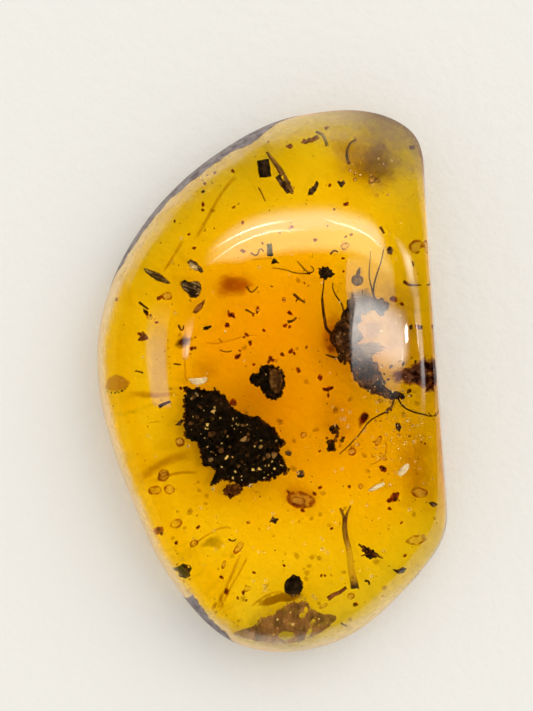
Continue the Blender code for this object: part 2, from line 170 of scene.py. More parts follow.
class Finish(Nodes):
    """A material, with its Principled shader's constants set."""

    def __init__(self, name, constants):
        self.material = bpy.data.materials.new(name)
        super().__init__(self.material)
        self.shader = self.tree.nodes["Principled BSDF"]
        for socket, value in constants.items():
            self.shader.inputs[socket].default_value = value

    def vary(self, socket, term):
        self.feed(self.shader.inputs[socket], term)

    def bump(self, height, distance):
        """Raises the surface by up to this many millimetres where the height is 1."""
        sockets = {"Height": height, "Distance": distance * MM, "Strength": 1.0}
        self.vary("Normal", self.add("Bump", {}, sockets))

    def dye(self, tint, cover, body):
        """Clear skin that tints what is seen through it where cover is 1, with the Principled shader over it
        where body is 1."""
        clear = self.add("BsdfTransparent")
        dyed = self.add("BsdfTransparent", {}, {"Color": (*tint, 1.0)})
        skin = self.add("MixShader", {}, {0: cover, 1: clear, 2: dyed})
        solid = Term(self, self.shader.outputs[0])
        surface = self.add("MixShader", {}, {0: body, 1: skin, 2: solid})
        self.feed(self.tree.nodes["Material Output"].inputs["Surface"], surface)

    def frayed(self, patches, share, low, high):
        """1 over the middle of a piece, falling to 0 towards its rim, with an edge that the patches fray."""
        return 1.0 - (self.attribute("rim") + (patches - 0.5) * share).between(low, high)


card = Finish("card", {"Base Color": (0.92, 0.905, 0.86, 1.0), "Roughness": 0.9, "Specular IOR Level": 0.1})
card.bump(card.noise(0.9, 4.0, 0.6), 0.06)
CARD_SIDE, CARD_DROP = 4000.0, 0.04
bpy.ops.object.select_all(action="DESELECT")
bpy.ops.mesh.primitive_plane_add(size=CARD_SIDE * MM, location=(0.0, 0.0, -CARD_DROP * MM))
floor = bpy.context.object
floor.name = "floor"
bpy.ops.object.transform_apply()
floor.data.materials.append(card.material)

# Studio light
# Even light from a white room, brighter towards the upper right. The polish mirrors only glowing sheets that
# stand for a window overhead: its skirt, bars and wires, round a dark square.
room = bpy.data.worlds.new("white_room")
room_light = Nodes(room)
bpy.context.scene.world = room
room.cycles_visibility.glossy = False
direction = room_light.add("TexCoord", output=0)
towards = Vector((0.55, 0.6, 0.85)).normalized()
facing = room_light.add("VectorMath", {"operation": "DOT_PRODUCT"}, {0: direction, 1: towards}, output=1)
GLOW_TIGHTNESS, GLOW_LIGHT, ROOM_LIGHT, LIGHT_INSIDE = 8.0, 1.6, 0.74, 1.1
glow = facing.maths("MAXIMUM", 0.0) ** GLOW_TIGHTNESS
background = room_light.tree.nodes["Background"]
background.inputs["Color"].default_value = (1.0, 0.99, 0.965, 1.0)
through = room_light.add("LightPath", output=6)
inside = room_light.add("LightPath", output=9).maths("GREATER_THAN", 0.5)
strength = (glow * GLOW_LIGHT + ROOM_LIGHT) * (through * inside * LIGHT_INSIDE + 1.0)
room_light.feed(background.inputs["Strength"], strength)

PANEL_HEIGHT, PANEL_GAP = 150.0, 0.3
WINDOW_WHITE = (1.0, 0.98, 0.95, 1.0)
WINDOW_BLUE = (0.22, 0.5, 1.0, 1.0)
WINDOW_WARM = (1.0, 0.93, 0.62, 1.0)


def new_grid(name, columns, rows):
    """A sheet of side 1 to be shaped, with nothing else selected."""
    bpy.ops.object.select_all(action="DESELECT")
    bpy.ops.mesh.primitive_grid_add(x_subdivisions=columns, y_subdivisions=rows, size=1.0)
    bpy.context.object.name = name
    return bpy.context.object


def mark(piece, name, values):
    """Keeps a number at each point of a mesh, for its finish to read."""
    piece.data.attributes.new(name, "FLOAT", "POINT").data.foreach_set("value", values)


def panel(name, near_side, far_side, radiance, edges, tint=WINDOW_WHITE):
    """Glowing sheet over the stone, seen only in the polish, and just under the sheets made before it.
    Each side is points from left to right, and the sheet thins out over these shares of its width and depth:
    left, right, near, far."""
    height = PANEL_HEIGHT - PANEL_GAP * sum(piece.name.startswith("panel") for piece in bpy.data.objects)
    sheet = new_grid("panel_" + name, 36, 24)
    steps = np.linspace(0.0, 1.0, len(near_side))
    fade = []
    for vert in sheet.data.vertices:
        u, v = vert.co.x + 0.5, vert.co.y + 0.5
        near, far = (
            Vector([np.interp(u, steps, column) for column in zip(*side)]) for side in (near_side, far_side))
        rooms = (u / edges[0], (1 - u) / edges[1], v / edges[2], (1 - v) / edges[3])
        shares = [min(max(room, 0.0), 1.0) for room in rooms]
        fade.append(math.prod(share * share * (3 - 2 * share) for share in shares))
        vert.co = (*near.lerp(far, v) * MM, height * MM)
    mark(sheet, "fade", fade)
    light = Finish(name, {"Base Color": (0.0, 0.0, 0.0, 1.0), "Specular IOR Level": 0.0,
                          "Emission Color": tint, "Emission Strength": radiance})
    light.vary("Alpha", light.attribute("fade"))
    light.material.cycles.emission_sampling = "NONE"
    sheet.data.materials.append(light.material)
    sheet.visible_camera = False
    sheet.visible_diffuse = False
    sheet.visible_transmission = False
    sheet.visible_shadow = False


panel("right_skirt", ((46, -9), (66, -17), (88, -28), (104, -25)), ((48, 47), (66, 46), (84, 47), (101, 48)),
      1.6, (0.02, 0.12, 0.2, 0.1))
panel("broad_streak", ((146, -48), (190, -58)), ((124, 56), (180, 60)), 6.8, (0.3, 0.4, 0.45, 0.75))
panel("far_streak", ((126, 20), (156, 20)), ((112, 62), (142, 60)), 9.5, (0.45, 0.5, 0.75, 0.25))
panel("left_strip", ((-85, 15), (-73, 15)), ((-87, 50), (-65, 48)), 6.0, (0.7, 0.12, 0.2, 0.8))
panel("far_left", ((-196, -34), (-116, -25)), ((-215, 118), (-112, 75)), 2.4, (0.35, 0.08, 0.06, 0.65),
      WINDOW_BLUE)
panel("arch", ((-80, 90), (-50, 76), (-34, 67), (-2, 58), (30, 50), (79, 38), (98, 36)),
      ((-88, 116), (-60, 128), (-30, 120), (-7, 114), (27, 101), (77, 78), (98, 62)),
      5.0, (0.2, 0.12, 0.13, 0.7), WINDOW_WARM)
panel("arch_core", ((-80, 97), (-50, 90), (-34, 82), (-2, 73), (30, 65), (79, 50), (98, 45)),
      ((-88, 112), (-60, 121), (-30, 113), (-7, 106), (27, 93), (77, 71), (98, 58)),
      6.0, (0.4, 0.12, 0.25, 0.6))
panel("right_bar", ((46, -3), (64, -4), (88, -9), (112, -8)), ((53, 30), (67, 29), (94, 20), (122, 17)),
      9.8, (0.02, 0.24, 0.42, 0.36))
panel("bar_edge", ((99, -4), (101, -4)), ((101, 8), (103, 8)), 17.0, (0.4, 0.4, 0.3, 0.3))
panel("thin_streak", ((133, 0), (141, 0)), ((130, 18), (138, 18)), 12.0, (0.4, 0.4, 0.4, 0.3))
WIRE_EDGES = (0.4, 0.4, 0.5, 0.5)
panel("wire_far", ((-76, 99), (-50, 97), (-20, 89), (2, 83)), ((-76, 103), (-50, 101), (-20, 93), (2, 87)),
      20.0, WIRE_EDGES)
panel("wire_near", ((-72, 83), (-45, 86), (-15, 80), (14, 69.5)),
      ((-72, 86), (-45, 89), (-15, 83), (14, 72.5)), 17.5, WIRE_EDGES)
panel("wire_right", ((15, 80), (31, 71), (71, 54), (98, 42)), ((15, 83), (31, 74), (71, 57), (98, 45)),
      16.0, WIRE_EDGES)
panel("glint", ((106, 6), (112, 7)), ((107, 12), (114, 14)), 70.0, (0.3, 0.3, 0.3, 0.3))

# The stone
# One pebble of clear amber, domed above, nearly flat below, polished, sawn flat along its right side and
# ground to a small flat spot underneath. It stands for the two halves that the model parts it in.
GIRDLE = 1.9
# How far the girdle lies from the middle, at even steps of turn from the sawn side
GIRDLE_REACH = np.array([12.2, 12.9, 14.6, 16.3, 15.0, 13.0, 11.5, 10.5, 9.85,
                         9.4, 9.4, 10.2, 12.2, 14.6, 14.85, 13.7, 12.8, 12.0])
CROWN_RISE, CROWN_FULLNESS = 5.2, 2.3
BASE_DEPTH, BASE_FULLNESS = 1.965, 5.0
SAWN_SIDE, LEAN_FROM, LEAN = 9.45, 2.5, 0.13
FOOT_ROUNDING, SAWN_ROUNDING = 0.05, 0.8


def smooth_min(a, b, reach):
    overlap = np.maximum(reach - abs(a - b), 0.0)
    return np.minimum(a, b) - overlap * overlap / (4 * reach)


def pressed(ball):
    """The stone's surface, for points of a ball of radius 1. Over the parting, the sawn face leans in."""
    turn = np.arctan2(ball[:, 1], ball[:, 0]) / math.tau % 1.0 * len(GIRDLE_REACH)
    step = turn.astype(int)
    part = turn - step
    before, near, far, after = (GIRDLE_REACH[(step + i) % len(GIRDLE_REACH)] for i in (-1, 0, 1, 2))
    twist = 3 * (near - far) + after - before
    bend = 2 * before - 5 * near + 4 * far - after + part * twist
    girdle = near + 0.5 * part * (far - before + part * bend)
    spread = np.hypot(ball[:, 0], ball[:, 1])
    above = ball[:, 2] > 0
    fullness = np.where(above, CROWN_FULLNESS, BASE_FULLNESS)
    reach = girdle * spread ** (2 / fullness) / np.maximum(spread, 1e-9)
    height = np.abs(ball[:, 2]) ** (2 / fullness) * np.where(above, CROWN_RISE, -BASE_DEPTH)
    points = np.column_stack([ball[:, 0] * reach, ball[:, 1] * reach, height + GIRDLE])
    points[:, 2] = -smooth_min(-points[:, 2], 0.0, FOOT_ROUNDING)
    lean = LEAN * np.maximum(points[:, 2] - LEAN_FROM, 0.0)
    points[:, 0] = smooth_min(points[:, 0], SAWN_SIDE - lean, SAWN_ROUNDING)
    return points


def points_of(piece):
    points = np.empty(len(piece.data.vertices) * 3)
    piece.data.vertices.foreach_get("co", points)
    return points.reshape(-1, 3)


def set_points(piece, points):
    piece.data.vertices.foreach_set("co", np.ravel(points))
    piece.data.update()


def new_ball(name, subdivisions):
    """A ball of radius 1 to be shaped, with nothing else selected."""
    bpy.ops.object.select_all(action="DESELECT")
    bpy.ops.mesh.primitive_ico_sphere_add(subdivisions=subdivisions, radius=1.0)
    bpy.context.object.name = name
    return bpy.context.object


stone = new_ball("stone", 7)
stone_points = pressed(points_of(stone))
stone_middle = (stone_points.max(axis=0) + stone_points.min(axis=0)) / 2 * (1, 1, 0)
stone_points -= stone_middle
set_points(stone, stone_points * MM)
bpy.ops.object.shade_smooth()


def clear_resin(name, tint, density, constants):
    """Clear body that soaks up light as it goes through."""
    clear = {"Base Color": (1.0, 1.0, 1.0, 1.0), "Transmission Weight": 1.0, "Roughness": 0.0}
    made = Finish(name, {**clear, **constants})
    soak = made.add("VolumeAbsorption", {}, {"Color": (*tint, 1.0), "Density": density})
    made.feed(made.tree.nodes["Material Output"].inputs["Volume"], soak)
    return made


BEND = 1.54
amber = clear_resin("amber", (0.997, 0.85, 0.38), 200.0, {"IOR": BEND})
amber.bump(amber.noise(4.0, 1.0), 0.012)
stone.data.materials.append(amber.material)
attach(stone, "root")
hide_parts("amber_base", "amber_crown")

# Deep amber
# The lower part of the same stone is a deeper honey, thickest under the middle, where it looks orange.
# It is clear too, and blends into the paler amber over it without a skin.
LAYER = 2.5


def mound(points, middle, reach, power):
    """1 at this middle, falling to 0 past this reach across and along."""
    return np.exp(-(np.abs((points[:, :2] - middle) / reach) ** power).sum(axis=1))


deep = new_ball("deep_amber", 6)
ball = points_of(deep)
points = pressed(ball) - stone_middle
heart = mound(points, (0.3, 0.6), (5.0, 6.6), 4)
lower_right = mound(points, (7.6, -4.4), (3.2, 5.0), 2)
wander = np.zeros(len(points))
for grain, share in ((0.4, 1.0), (1.1, 0.6), (2.4, 0.35)):
    spots = points * (grain, grain, 0.0) + (grain * 9, 0.0, 0.0)
    wander += share * np.array([noise.noise(Vector(spot)) for spot in spots])
top = 1.0 + 1.4 * heart + 0.95 * lower_right + 0.45 * wander
WAIST, HONEY_DEPTH, HONEY_INSET, HONEY_SLOPE = 0.9, 0.8, 0.985, 1.6
reach = np.where(ball[:, 2] > 0, top - WAIST, -HONEY_DEPTH)
points[:, 2] = WAIST + reach * np.abs(ball[:, 2]) ** HONEY_SLOPE
points[:, :2] *= HONEY_INSET
set_points(deep, points * MM)
bpy.ops.object.shade_smooth()
honey = clear_resin("deep_honey", (0.9967, 0.9545, 0.0), 3000.0, {"IOR": 1.0, "Specular IOR Level": 0.0})
deep.data.materials.append(honey.material)
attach(deep, "root")

# The line of sight
# What is sealed in the stone is seen through its crown, which bends the sight. Each piece is shaped where
# the eye sees it, and its points then follow the bent line of sight down to their own heights.
CELL = 0.25
NUDGE = 0.985
SIGHT_LOW = np.array((-9.5, -15.0))
SIGHT_CELLS = np.array((77, 121))
stone_faces = [tuple(face.vertices) for face in stone.data.polygons]
crown = BVHTree.FromPolygons([tuple(point) for point in stone_points], stone_faces)
sight = np.zeros((*SIGHT_CELLS, 5))
for column, row in np.ndindex(*SIGHT_CELLS):
    aim = Vector((*(SIGHT_LOW + CELL * np.array((column, row))), GIRDLE))
    place = None
    while place is None:
        ray = (aim - lens_place).normalized()
        place, face_way, *_ = crown.ray_cast(lens_place, ray)
        aim.xy *= NUDGE
    steep = -ray.dot(face_way)
    bent = ray / BEND + face_way * (steep / BEND - math.sqrt(1 - (1 - steep ** 2) / BEND ** 2))
    lean = bent.xy / bent.z
    sight[column, row] = (*(place.xy - lean * place.z), *lean, place.z)


def seen_at(places):
    """For places in the view: where the line of sight meets height 0, how it leans, and the crown's height
    there."""
    cell = np.clip((places - SIGHT_LOW) / CELL, 0, SIGHT_CELLS - 1.001)
    column, row = cell.astype(int).T
    across, along = (cell % 1.0).T[..., None]
    near = sight[column, row] * (1 - across) + sight[column + 1, row] * across
    far = sight[column, row + 1] * (1 - across) + sight[column + 1, row + 1] * across
    return near * (1 - along) + far * along


def crown_over(x, y):
    return seen_at(np.array([(x, y)]))[0, 4]


def sunk(points):
    """Where points of the view lie at their own heights, in metres."""
    points = np.asarray(points)
    seen = seen_at(points[:, :2])
    places = seen[:, :2] + seen[:, 2:4] * points[:, 2:]
    return np.column_stack([places, points[:, 2]]) * MM


def pick(piece):
    bpy.ops.object.select_all(action="DESELECT")
    piece.select_set(True)
    bpy.context.view_layer.objects.active = piece


def seal(piece, finish, slot, *nodes):
    """Sinks a finished shape into the stone, in place of these solids."""
    set_points(piece, sunk(points_of(piece)))
    pick(piece)
    bpy.ops.object.shade_smooth_by_angle(angle=math.radians(50))
    piece.data.materials.append(finish.material)
    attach(piece, "root")
    if nodes:
        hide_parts(*nodes)


# Frass clump
# A lump of insect droppings and soil: a ragged dark mass, packed with black and brown crumbs, with pale sand
# grains caught between them and tiny bright golden grains, painted highlights of bubbles. It hung together
# before the resin closed round it.
def reach_of(corners, angle):
    """How far an outline round (0, 0) reaches in each of these directions."""
    ahead_x, ahead_y = np.cos(angle)[:, None], np.sin(angle)[:, None]
    side = np.roll(corners, -1, axis=0) - corners
    cross = ahead_x * side[:, 1] - ahead_y * side[:, 0]
    cross = np.where(abs(cross) < 1e-9, 1e-9, cross)
    far = (corners[:, 0] * side[:, 1] - corners[:, 1] * side[:, 0]) / cross
    share = (corners[:, 0] * ahead_y - corners[:, 1] * ahead_x) / cross
    return np.where((share > -1e-6) & (share < 1 + 1e-6) & (far > 0), far, 0).max(axis=1)


def centred(corners):
    """An outline's middle, and its corners as seen from there."""
    corners = np.array(corners)
    middle = (corners.max(axis=0) + corners.min(axis=0)) / 2
    return middle, corners - middle


def rebuild(piece, points, faces):
    """Gives a piece new points and faces in place of its own."""
    piece.data.clear_geometry()
    piece.data.from_pydata(np.reshape(points, (-1, 3)).tolist(), [], faces.tolist())


def scrap(name, corners, half_height, height=LAYER, crumb=0.05, grain=4.0, fullness=4.0, detail=5):
    """Lump or flake with these corners. The crumb stands out of its faces and frays its edge."""
    piece = new_ball(name, detail)
    ball = points_of(piece)
    middle, corners = centred(corners)
    angle = np.arctan2(ball[:, 1], ball[:, 0])
    spread = np.hypot(ball[:, 0], ball[:, 1])
    edge = reach_of(corners, angle)
    edge = edge.mean() + (edge - edge.mean()) * spread
    reach = edge * spread ** (2 / fullness)
    points = np.column_stack([
        middle[0] + reach * np.cos(angle),
        middle[1] + reach * np.sin(angle),
        height + np.sign(ball[:, 2]) * np.abs(ball[:, 2]) ** (2 / fullness) * half_height,
    ])
    rough = [crumb * noise.hetero_terrain(Vector(point) * grain, 0.6, 2.0, 3, 0.6) for point in points]
    points += ball * (np.array(rough) - crumb * 0.7)[:, None]
    set_points(piece, points)
    mark(piece, "rim", spread ** (2 / fullness))
    return piece


chance = np.random.default_rng(4)


def turned(across, along, turn):
    """Places turned about the middle by an angle."""
    return across * np.cos(turn) - along * np.sin(turn), across * np.sin(turn) + along * np.cos(turn)


def copied(faces, count, points):
    """The faces of a shape with this many points, once for each copy of it."""
    return (faces + np.arange(count)[:, None, None] * points).reshape(-1, faces.shape[1])


def crumbs(name, spots, angular=0.35, subdivisions=2):
    """One mesh of many rough grains. Each spot is x, y, height, radius and tint."""
    piece = new_ball(name, subdivisions)
    corners = points_of(piece)
    faces = np.array([face.vertices[:] for face in piece.data.polygons])
    spots = np.array(spots, dtype=float)
    count = len(spots)
    lumps = chance.uniform(1 - angular, 1 + angular, (count, len(corners), 1))
    stretch = chance.uniform(0.65, 1.35, (count, 1, 3))
    turn = chance.uniform(0, math.tau, (count, 1))
    shapes = corners * lumps * stretch * spots[:, None, 3:4]
    places = turned(shapes[..., 0], shapes[..., 1], turn)
    points = np.stack([*places, shapes[..., 2]], axis=-1) + spots[:, None, :3]
    rebuild(piece, points, copied(faces, count, len(corners)))
    mark(piece, "tint", np.repeat(spots[:, 4], len(corners)))
    return piece


def mottled(name, stops, grain, roughness, relief, source=None):
    """Finish that wanders through its stops in patches of this size, or follows an attribute of the mesh."""
    made = Finish(name, {"Specular IOR Level": 0.05})
    patches = made.noise(grain, 4.0, 0.65)
    if source:
        place = made.attribute(source) + (patches - 0.5) * 0.35
    else:
        place = patches.between(0.3, 0.7)
    made.vary("Base Color", made.ramp(place, *stops))
    made.vary("Roughness", patches * 0.4 + (roughness - 0.2))
    made.bump(made.noise(grain / 4, 3.0), relief)
    return made


# The last, bright golden stop serves both pale grit and the painted highlights of bubbles.
FRASS_TINTS = (
    (0.002, 0.0015, 0.0015), (0.006, 0.0045, 0.004), (0.022, 0.012, 0.008), (0.12, 0.06, 0.03),
    (0.5, 0.36, 0.2), (1.0, 0.8, 0.36))
frass = mottled("frass", FRASS_TINTS, 0.5, 0.55, 0.02, "tint")
DUST_TINTS = (
    (0.012, 0.004, 0.002), (0.05, 0.014, 0.003), (0.13, 0.04, 0.006), (0.28, 0.10, 0.015),
    (0.5, 0.28, 0.08))
dust = mottled("dust", DUST_TINTS, 0.3, 0.55, 0.02, "tint")
dust.vary("Alpha", dust.noise(0.14, 3.0, 0.6).between(0.25, 0.6) * 0.5 + 0.42)
FRASS_EDGE = (
    (-4.5, 0.02), (-4.13, -0.09), (-3.7, -0.16), (-3.18, -0.23), (-2.93, -0.2), (-2.67, -0.45),
    (-2.38, -0.82), (-2.16, -1.26), (-1.94, -1.48), (-1.5, -1.73), (-1.13, -1.88), (-0.84, -1.84),
    (-0.54, -2.14), (-0.18, -2.36), (0.04, -2.58), (0.26, -3.02), (0.67, -3.24), (0.34, -3.46),
    (0.19, -3.75), (0.34, -4.04), (0.45, -4.48), (0.7, -4.74), (0.26, -5.05), (-0.25, -5.2), (-0.84, -5.23),
    (-1.57, -5.45), (-2.0, -5.38), (-2.3, -5.16), (-2.96, -5.05), (-3.62, -5.34), (-3.1, -4.87),
    (-3.1, -4.56), (-3.55, -4.26), (-3.9, -4.23), (-3.88, -3.9), (-3.9, -3.46), (-4.13, -2.87),
    (-4.72, -2.72), (-4.72, -2.43), (-4.8, -1.92), (-4.65, -1.33), (-4.65, -0.6), (-4.54, -0.09))
# Grains that stand out on the clump: x, y, radius and tint. Those tinted near 1 are painted highlights of
# bubbles.
FRASS_GRAINS = (
    (-3.18, -1.33, 0.15, 0.85), (-3.1, -1.1, 0.08, 0.8), (-3.55, -2.04, 0.09, 0.95),
    (-3.68, -2.23, 0.09, 0.95), (-3.2, -1.72, 0.07, 0.8), (-2.83, -1.7, 0.06, 0.9),
    (-1.57, -2.96, 0.2, 0.74), (-1.6, -2.2, 0.14, 0.7), (-0.62, -3.11, 0.12, 1.0),
    (-0.7, -3.46, 0.12, 0.75), (-1.0, -3.4, 0.08, 0.9), (-2.63, -3.95, 0.13, 1.0),
    (-2.5, -2.76, 0.07, 0.95), (-2.08, -2.36, 0.07, 0.95), (-3.64, -3.27, 0.06, 0.9),
    (-0.3, -4.02, 0.2, 0.68), (0.0, -4.02, 0.22, 0.7), (-0.55, -4.15, 0.15, 0.66), (0.41, -4.6, 0.11, 0.9),
    (-1.2, -4.72, 0.1, 1.0), (-0.84, -4.72, 0.12, 1.0), (-2.93, -4.45, 0.07, 0.9), (-3.9, -1.0, 0.16, 0.6),
    (-2.2, -4.75, 0.08, 0.9), (-2.35, -5.1, 0.07, 0.95), (-4.5, -1.9, 0.14, 0.6), (-3.5, -4.0, 0.17, 0.62),
    (-4.1, -1.6, 0.12, 0.55), (-0.3, -4.55, 0.08, 0.95), (0.0, -4.75, 0.08, 0.95), (-0.1, -4.35, 0.07, 0.9),
    (-0.9, -4.1, 0.1, 0.62), (-2.9, -3.55, 0.16, 0.58), (-3.3, -2.55, 0.2, 0.56), (-2.6, -2.45, 0.16, 0.55),
    (0.2, -3.2, 0.09, 0.8), (-1.9, -1.75, 0.06, 0.8), (-1.35, -2.7, 0.1, 0.6), (-4.35, -0.5, 0.1, 0.7),
    (-4.0, -0.35, 0.08, 0.75), (-2.0, -4.45, 0.09, 0.65), (-1.5, -3.9, 0.12, 0.5), (-2.7, -0.9, 0.12, 0.5),
    (-0.8, -2.4, 0.1, 0.55))


def heap(corners, count, radius, bulge, low=0.0, high=1.0):
    """Dark crumbs strewn over the mass inside these corners, from one share of its reach to another."""
    middle, corners = centred(corners)
    angle = chance.uniform(-math.pi, math.pi, count)
    share = np.sqrt(chance.uniform(low ** 2, high ** 2, count))
    reach = reach_of(corners, angle) * share
    height = LAYER + bulge * np.sqrt(np.clip(1.05 - share ** 3, 0, 1)) * chance.uniform(0.75, 1.0, count)
    sizes = radius * chance.uniform(0.45, 1.3, count)
    tints = chance.uniform(0.0, 1.0, count) ** 3.0 * 0.66
    places = (middle[0] + reach * np.cos(angle), middle[1] + reach * np.sin(angle))
    return np.column_stack([*places, height, sizes, tints]).tolist()


def on_top(grains, height, scale=1.0):
    return [(x, y, height, radius * scale, tint) for x, y, radius, tint in grains]


mass = scrap("frass_clump_mass", FRASS_EDGE, 0.8, crumb=0.1, grain=5.0, fullness=3.2, detail=6)
seal(mass, mottled("frass_mass", FRASS_TINTS[:3], 0.5, 0.6, 0.05), "black_char", "frass_clump")
seal(crumbs("frass_clump_crumbs", heap(FRASS_EDGE, 1500, 0.085, 0.85), 0.5, 1), frass, "black_char")
# Tiny grains of the brightest golden tint: painted highlights of bubbles in the clump.
glints = [(*grain[:3], grain[3] * 0.35, 1.0) for grain in heap(FRASS_EDGE, 55, 0.1, 1.0, 0.2, 0.97)]
grains = on_top(FRASS_GRAINS, LAYER + 0.92, 0.8) + glints
seal(crumbs("frass_clump_grains", grains, 0.6, 1), frass, "black_char")
fringe = [(*grain[:4], 0.2 + grain[4]) for grain in heap(FRASS_EDGE, 560, 0.095, 0.5, 0.93, 1.06)]
seal(crumbs("frass_clump_fringe", fringe, 0.5, 1), dust, "black_char")

# Small clump
# The same stuff in a smaller lump, with a smooth brown seed or pupa in its right half. It lies just beyond
# the large one, in the same layer of resin.
SMALL_EDGE = (
    (-0.98, 0.3), (-0.8, 0.62), (-0.5, 0.55), (-0.3, 0.95), (0.04, 1.05), (0.3, 0.9), (0.62, 0.85),
    (0.85, 0.45), (0.82, 0.0), (0.66, -0.5), (0.5, -0.78), (0.19, -0.82), (-0.15, -0.7), (-0.28, -0.35),
    (-0.4, -0.05), (-0.75, 0.0))
SMALL_GRAINS = (
    (-0.1, 0.55, 0.06, 0.8), (-0.35, 0.3, 0.1, 0.5), (0.15, 0.8, 0.08, 0.55), (0.1, -0.6, 0.07, 0.5))
small = scrap("small_clump_mass", SMALL_EDGE, 0.5, crumb=0.06, grain=6.0, fullness=3.0)
seal(small, mottled("small_frass", FRASS_TINTS[:3], 0.3, 0.6, 0.04), "dark_bark", "small_clump")
small_crumbs = heap(SMALL_EDGE, 260, 0.075, 0.5) + on_top(SMALL_GRAINS, LAYER + 0.6)
seal(crumbs("small_clump_crumbs", small_crumbs, 0.5, 1), frass, "dark_bark")
small_fringe = [(*grain[:4], grain[4] * 0.5) for grain in heap(SMALL_EDGE, 130, 0.085, 0.2, 0.9, 1.1)]
seal(crumbs("small_clump_fringe", small_fringe, 0.5, 1), frass, "dark_bark")
BROWN_SEED = (
    (0.1, 0.72), (0.4, 0.85), (0.7, 0.6), (0.8, 0.1), (0.62, -0.42), (0.36, -0.6), (0.1, -0.3), (0.02, 0.2))
BROWN_SEED_TINTS = ((0.02, 0.008, 0.004), (0.09, 0.042, 0.018), (0.24, 0.14, 0.075))
brown = mottled("brown_seed_coat", BROWN_SEED_TINTS, 0.35, 0.35, 0.02)
seed = scrap("small_clump_seed", BROWN_SEED, 0.3, LAYER + 0.42, crumb=0.02, grain=2.5, fullness=2.4)
seal(seed, brown, "dark_bark")

# Insect
# A dark winged insect, curled on its side: head, humped thorax and ringed abdomen grown into one body, with
# jointed legs and antennae, and crumpled wings of clear brown skin lying over its back.
CHITIN_TINTS = ((0.010, 0.005, 0.004), (0.035, 0.015, 0.010), (0.10, 0.045, 0.028), (0.22, 0.12, 0.08))
chitin = mottled("chitin", CHITIN_TINTS, 0.5, 0.4, 0.04)
# Swellings of the body: x, y, height over the layer, half length, half width, half height, turn in degrees
BODY = (
    (6.59, 3.90, 0.05, 0.42, 0.36, 0.36, 100), (6.40, 4.14, 0.16, 0.17, 0.15, 0.17, 0),
    (6.84, 3.98, 0.16, 0.16, 0.14, 0.16, 0), (6.62, 3.52, 0.0, 0.16, 0.12, 0.12, 80),
    (6.15, 4.02, 0.0, 0.30, 0.26, 0.28, 10), (5.68, 4.12, 0.05, 0.48, 0.42, 0.42, 5),
    (5.15, 3.95, 0.05, 0.5, 0.5, 0.5, 20), (4.85, 3.35, 0.08, 0.6, 0.5, 0.56, 70),
    (4.5, 2.85, 0.1, 0.5, 0.55, 0.6, 80), (4.36, 2.3, 0.08, 0.58, 0.72, 0.62, 100),
    (4.75, 2.3, 0.05, 0.5, 0.6, 0.5, 90), (4.6, 1.6, 0.0, 0.55, 0.62, 0.52, 110),
    (4.95, 1.25, 0.0, 0.5, 0.55, 0.5, 117), (5.25, 0.75, 0.0, 0.6, 0.66, 0.55, 117),
    (5.5, 0.3, 0.02, 0.6, 0.74, 0.6, 117), (5.72, -0.12, 0.02, 0.6, 0.68, 0.58, 119),
    (5.95, -0.5, 0.0, 0.5, 0.5, 0.5, 130), (6.25, -0.8, 0.0, 0.36, 0.34, 0.38, 150),
    (6.6, -1.0, 0.0, 0.36, 0.26, 0.3, 162), (6.95, -1.13, 0.0, 0.32, 0.22, 0.26, 164),
    (7.28, -1.22, 0.0, 0.26, 0.15, 0.18, 166), (4.15, 1.2, 0.0, 0.16, 0.26, 0.16, 20))
bpy.ops.object.select_all(action="DESELECT")
for x, y, rise, half_length, half_width, half_height, turn in BODY:
    bpy.ops.mesh.primitive_uv_sphere_add(
        segments=32, ring_count=16, radius=1.0, location=(x, y, LAYER + rise),
        rotation=(0.0, 0.0, math.radians(turn)), scale=(half_length, half_width, half_height))
    bpy.context.object.name = "swelling"
bpy.ops.object.select_all(action="DESELECT")
for swelling in [piece for piece in bpy.data.objects if piece.name.startswith("swelling")]:
    swelling.select_set(True)
    bpy.context.view_layer.objects.active = swelling
bpy.ops.object.join()
insect = bpy.context.object
insect.name = "insect_body"
bpy.ops.object.transform_apply(location=True, rotation=True, scale=True)
skin = insect.modifiers.new("one skin", "REMESH")
skin.mode = "VOXEL"
skin.voxel_size = 0.05
bpy.ops.object.modifier_apply(modifier=skin.name)
ease = insect.modifiers.new("soft joints", "SMOOTH")
ease.factor = 0.5
ease.iterations = 3
bpy.ops.object.modifier_apply(modifier=ease.name)
points = points_of(insect)
ways = np.empty(len(points) * 3)
insect.data.vertex_normals.foreach_get("vector", ways)
rough = [noise.hetero_terrain(Vector(point) * 3.0, 0.7, 2.0, 3, 0.5) for point in points]
set_points(insect, points + ways.reshape(-1, 3) * (np.array(rough)[:, None] - 0.6) * 0.09)
seal(insect, chitin, "insect_skin", "insect")


def face_outwards(merge=0.0):
    """Turns the faces of the active piece outwards, after points this close together are merged."""
    bpy.ops.object.mode_set(mode="EDIT")
    bpy.ops.mesh.select_all(action="SELECT")
    if merge:
        bpy.ops.mesh.remove_doubles(threshold=merge)
    bpy.ops.mesh.normals_make_consistent(inside=False)
    bpy.ops.object.mode_set(mode="OBJECT")


def eased(ends, share):
    """The value at this share of the way between two ends, or the same value all along."""
    start, end = np.resize(ends, 2)
    return start + (end - start) * share


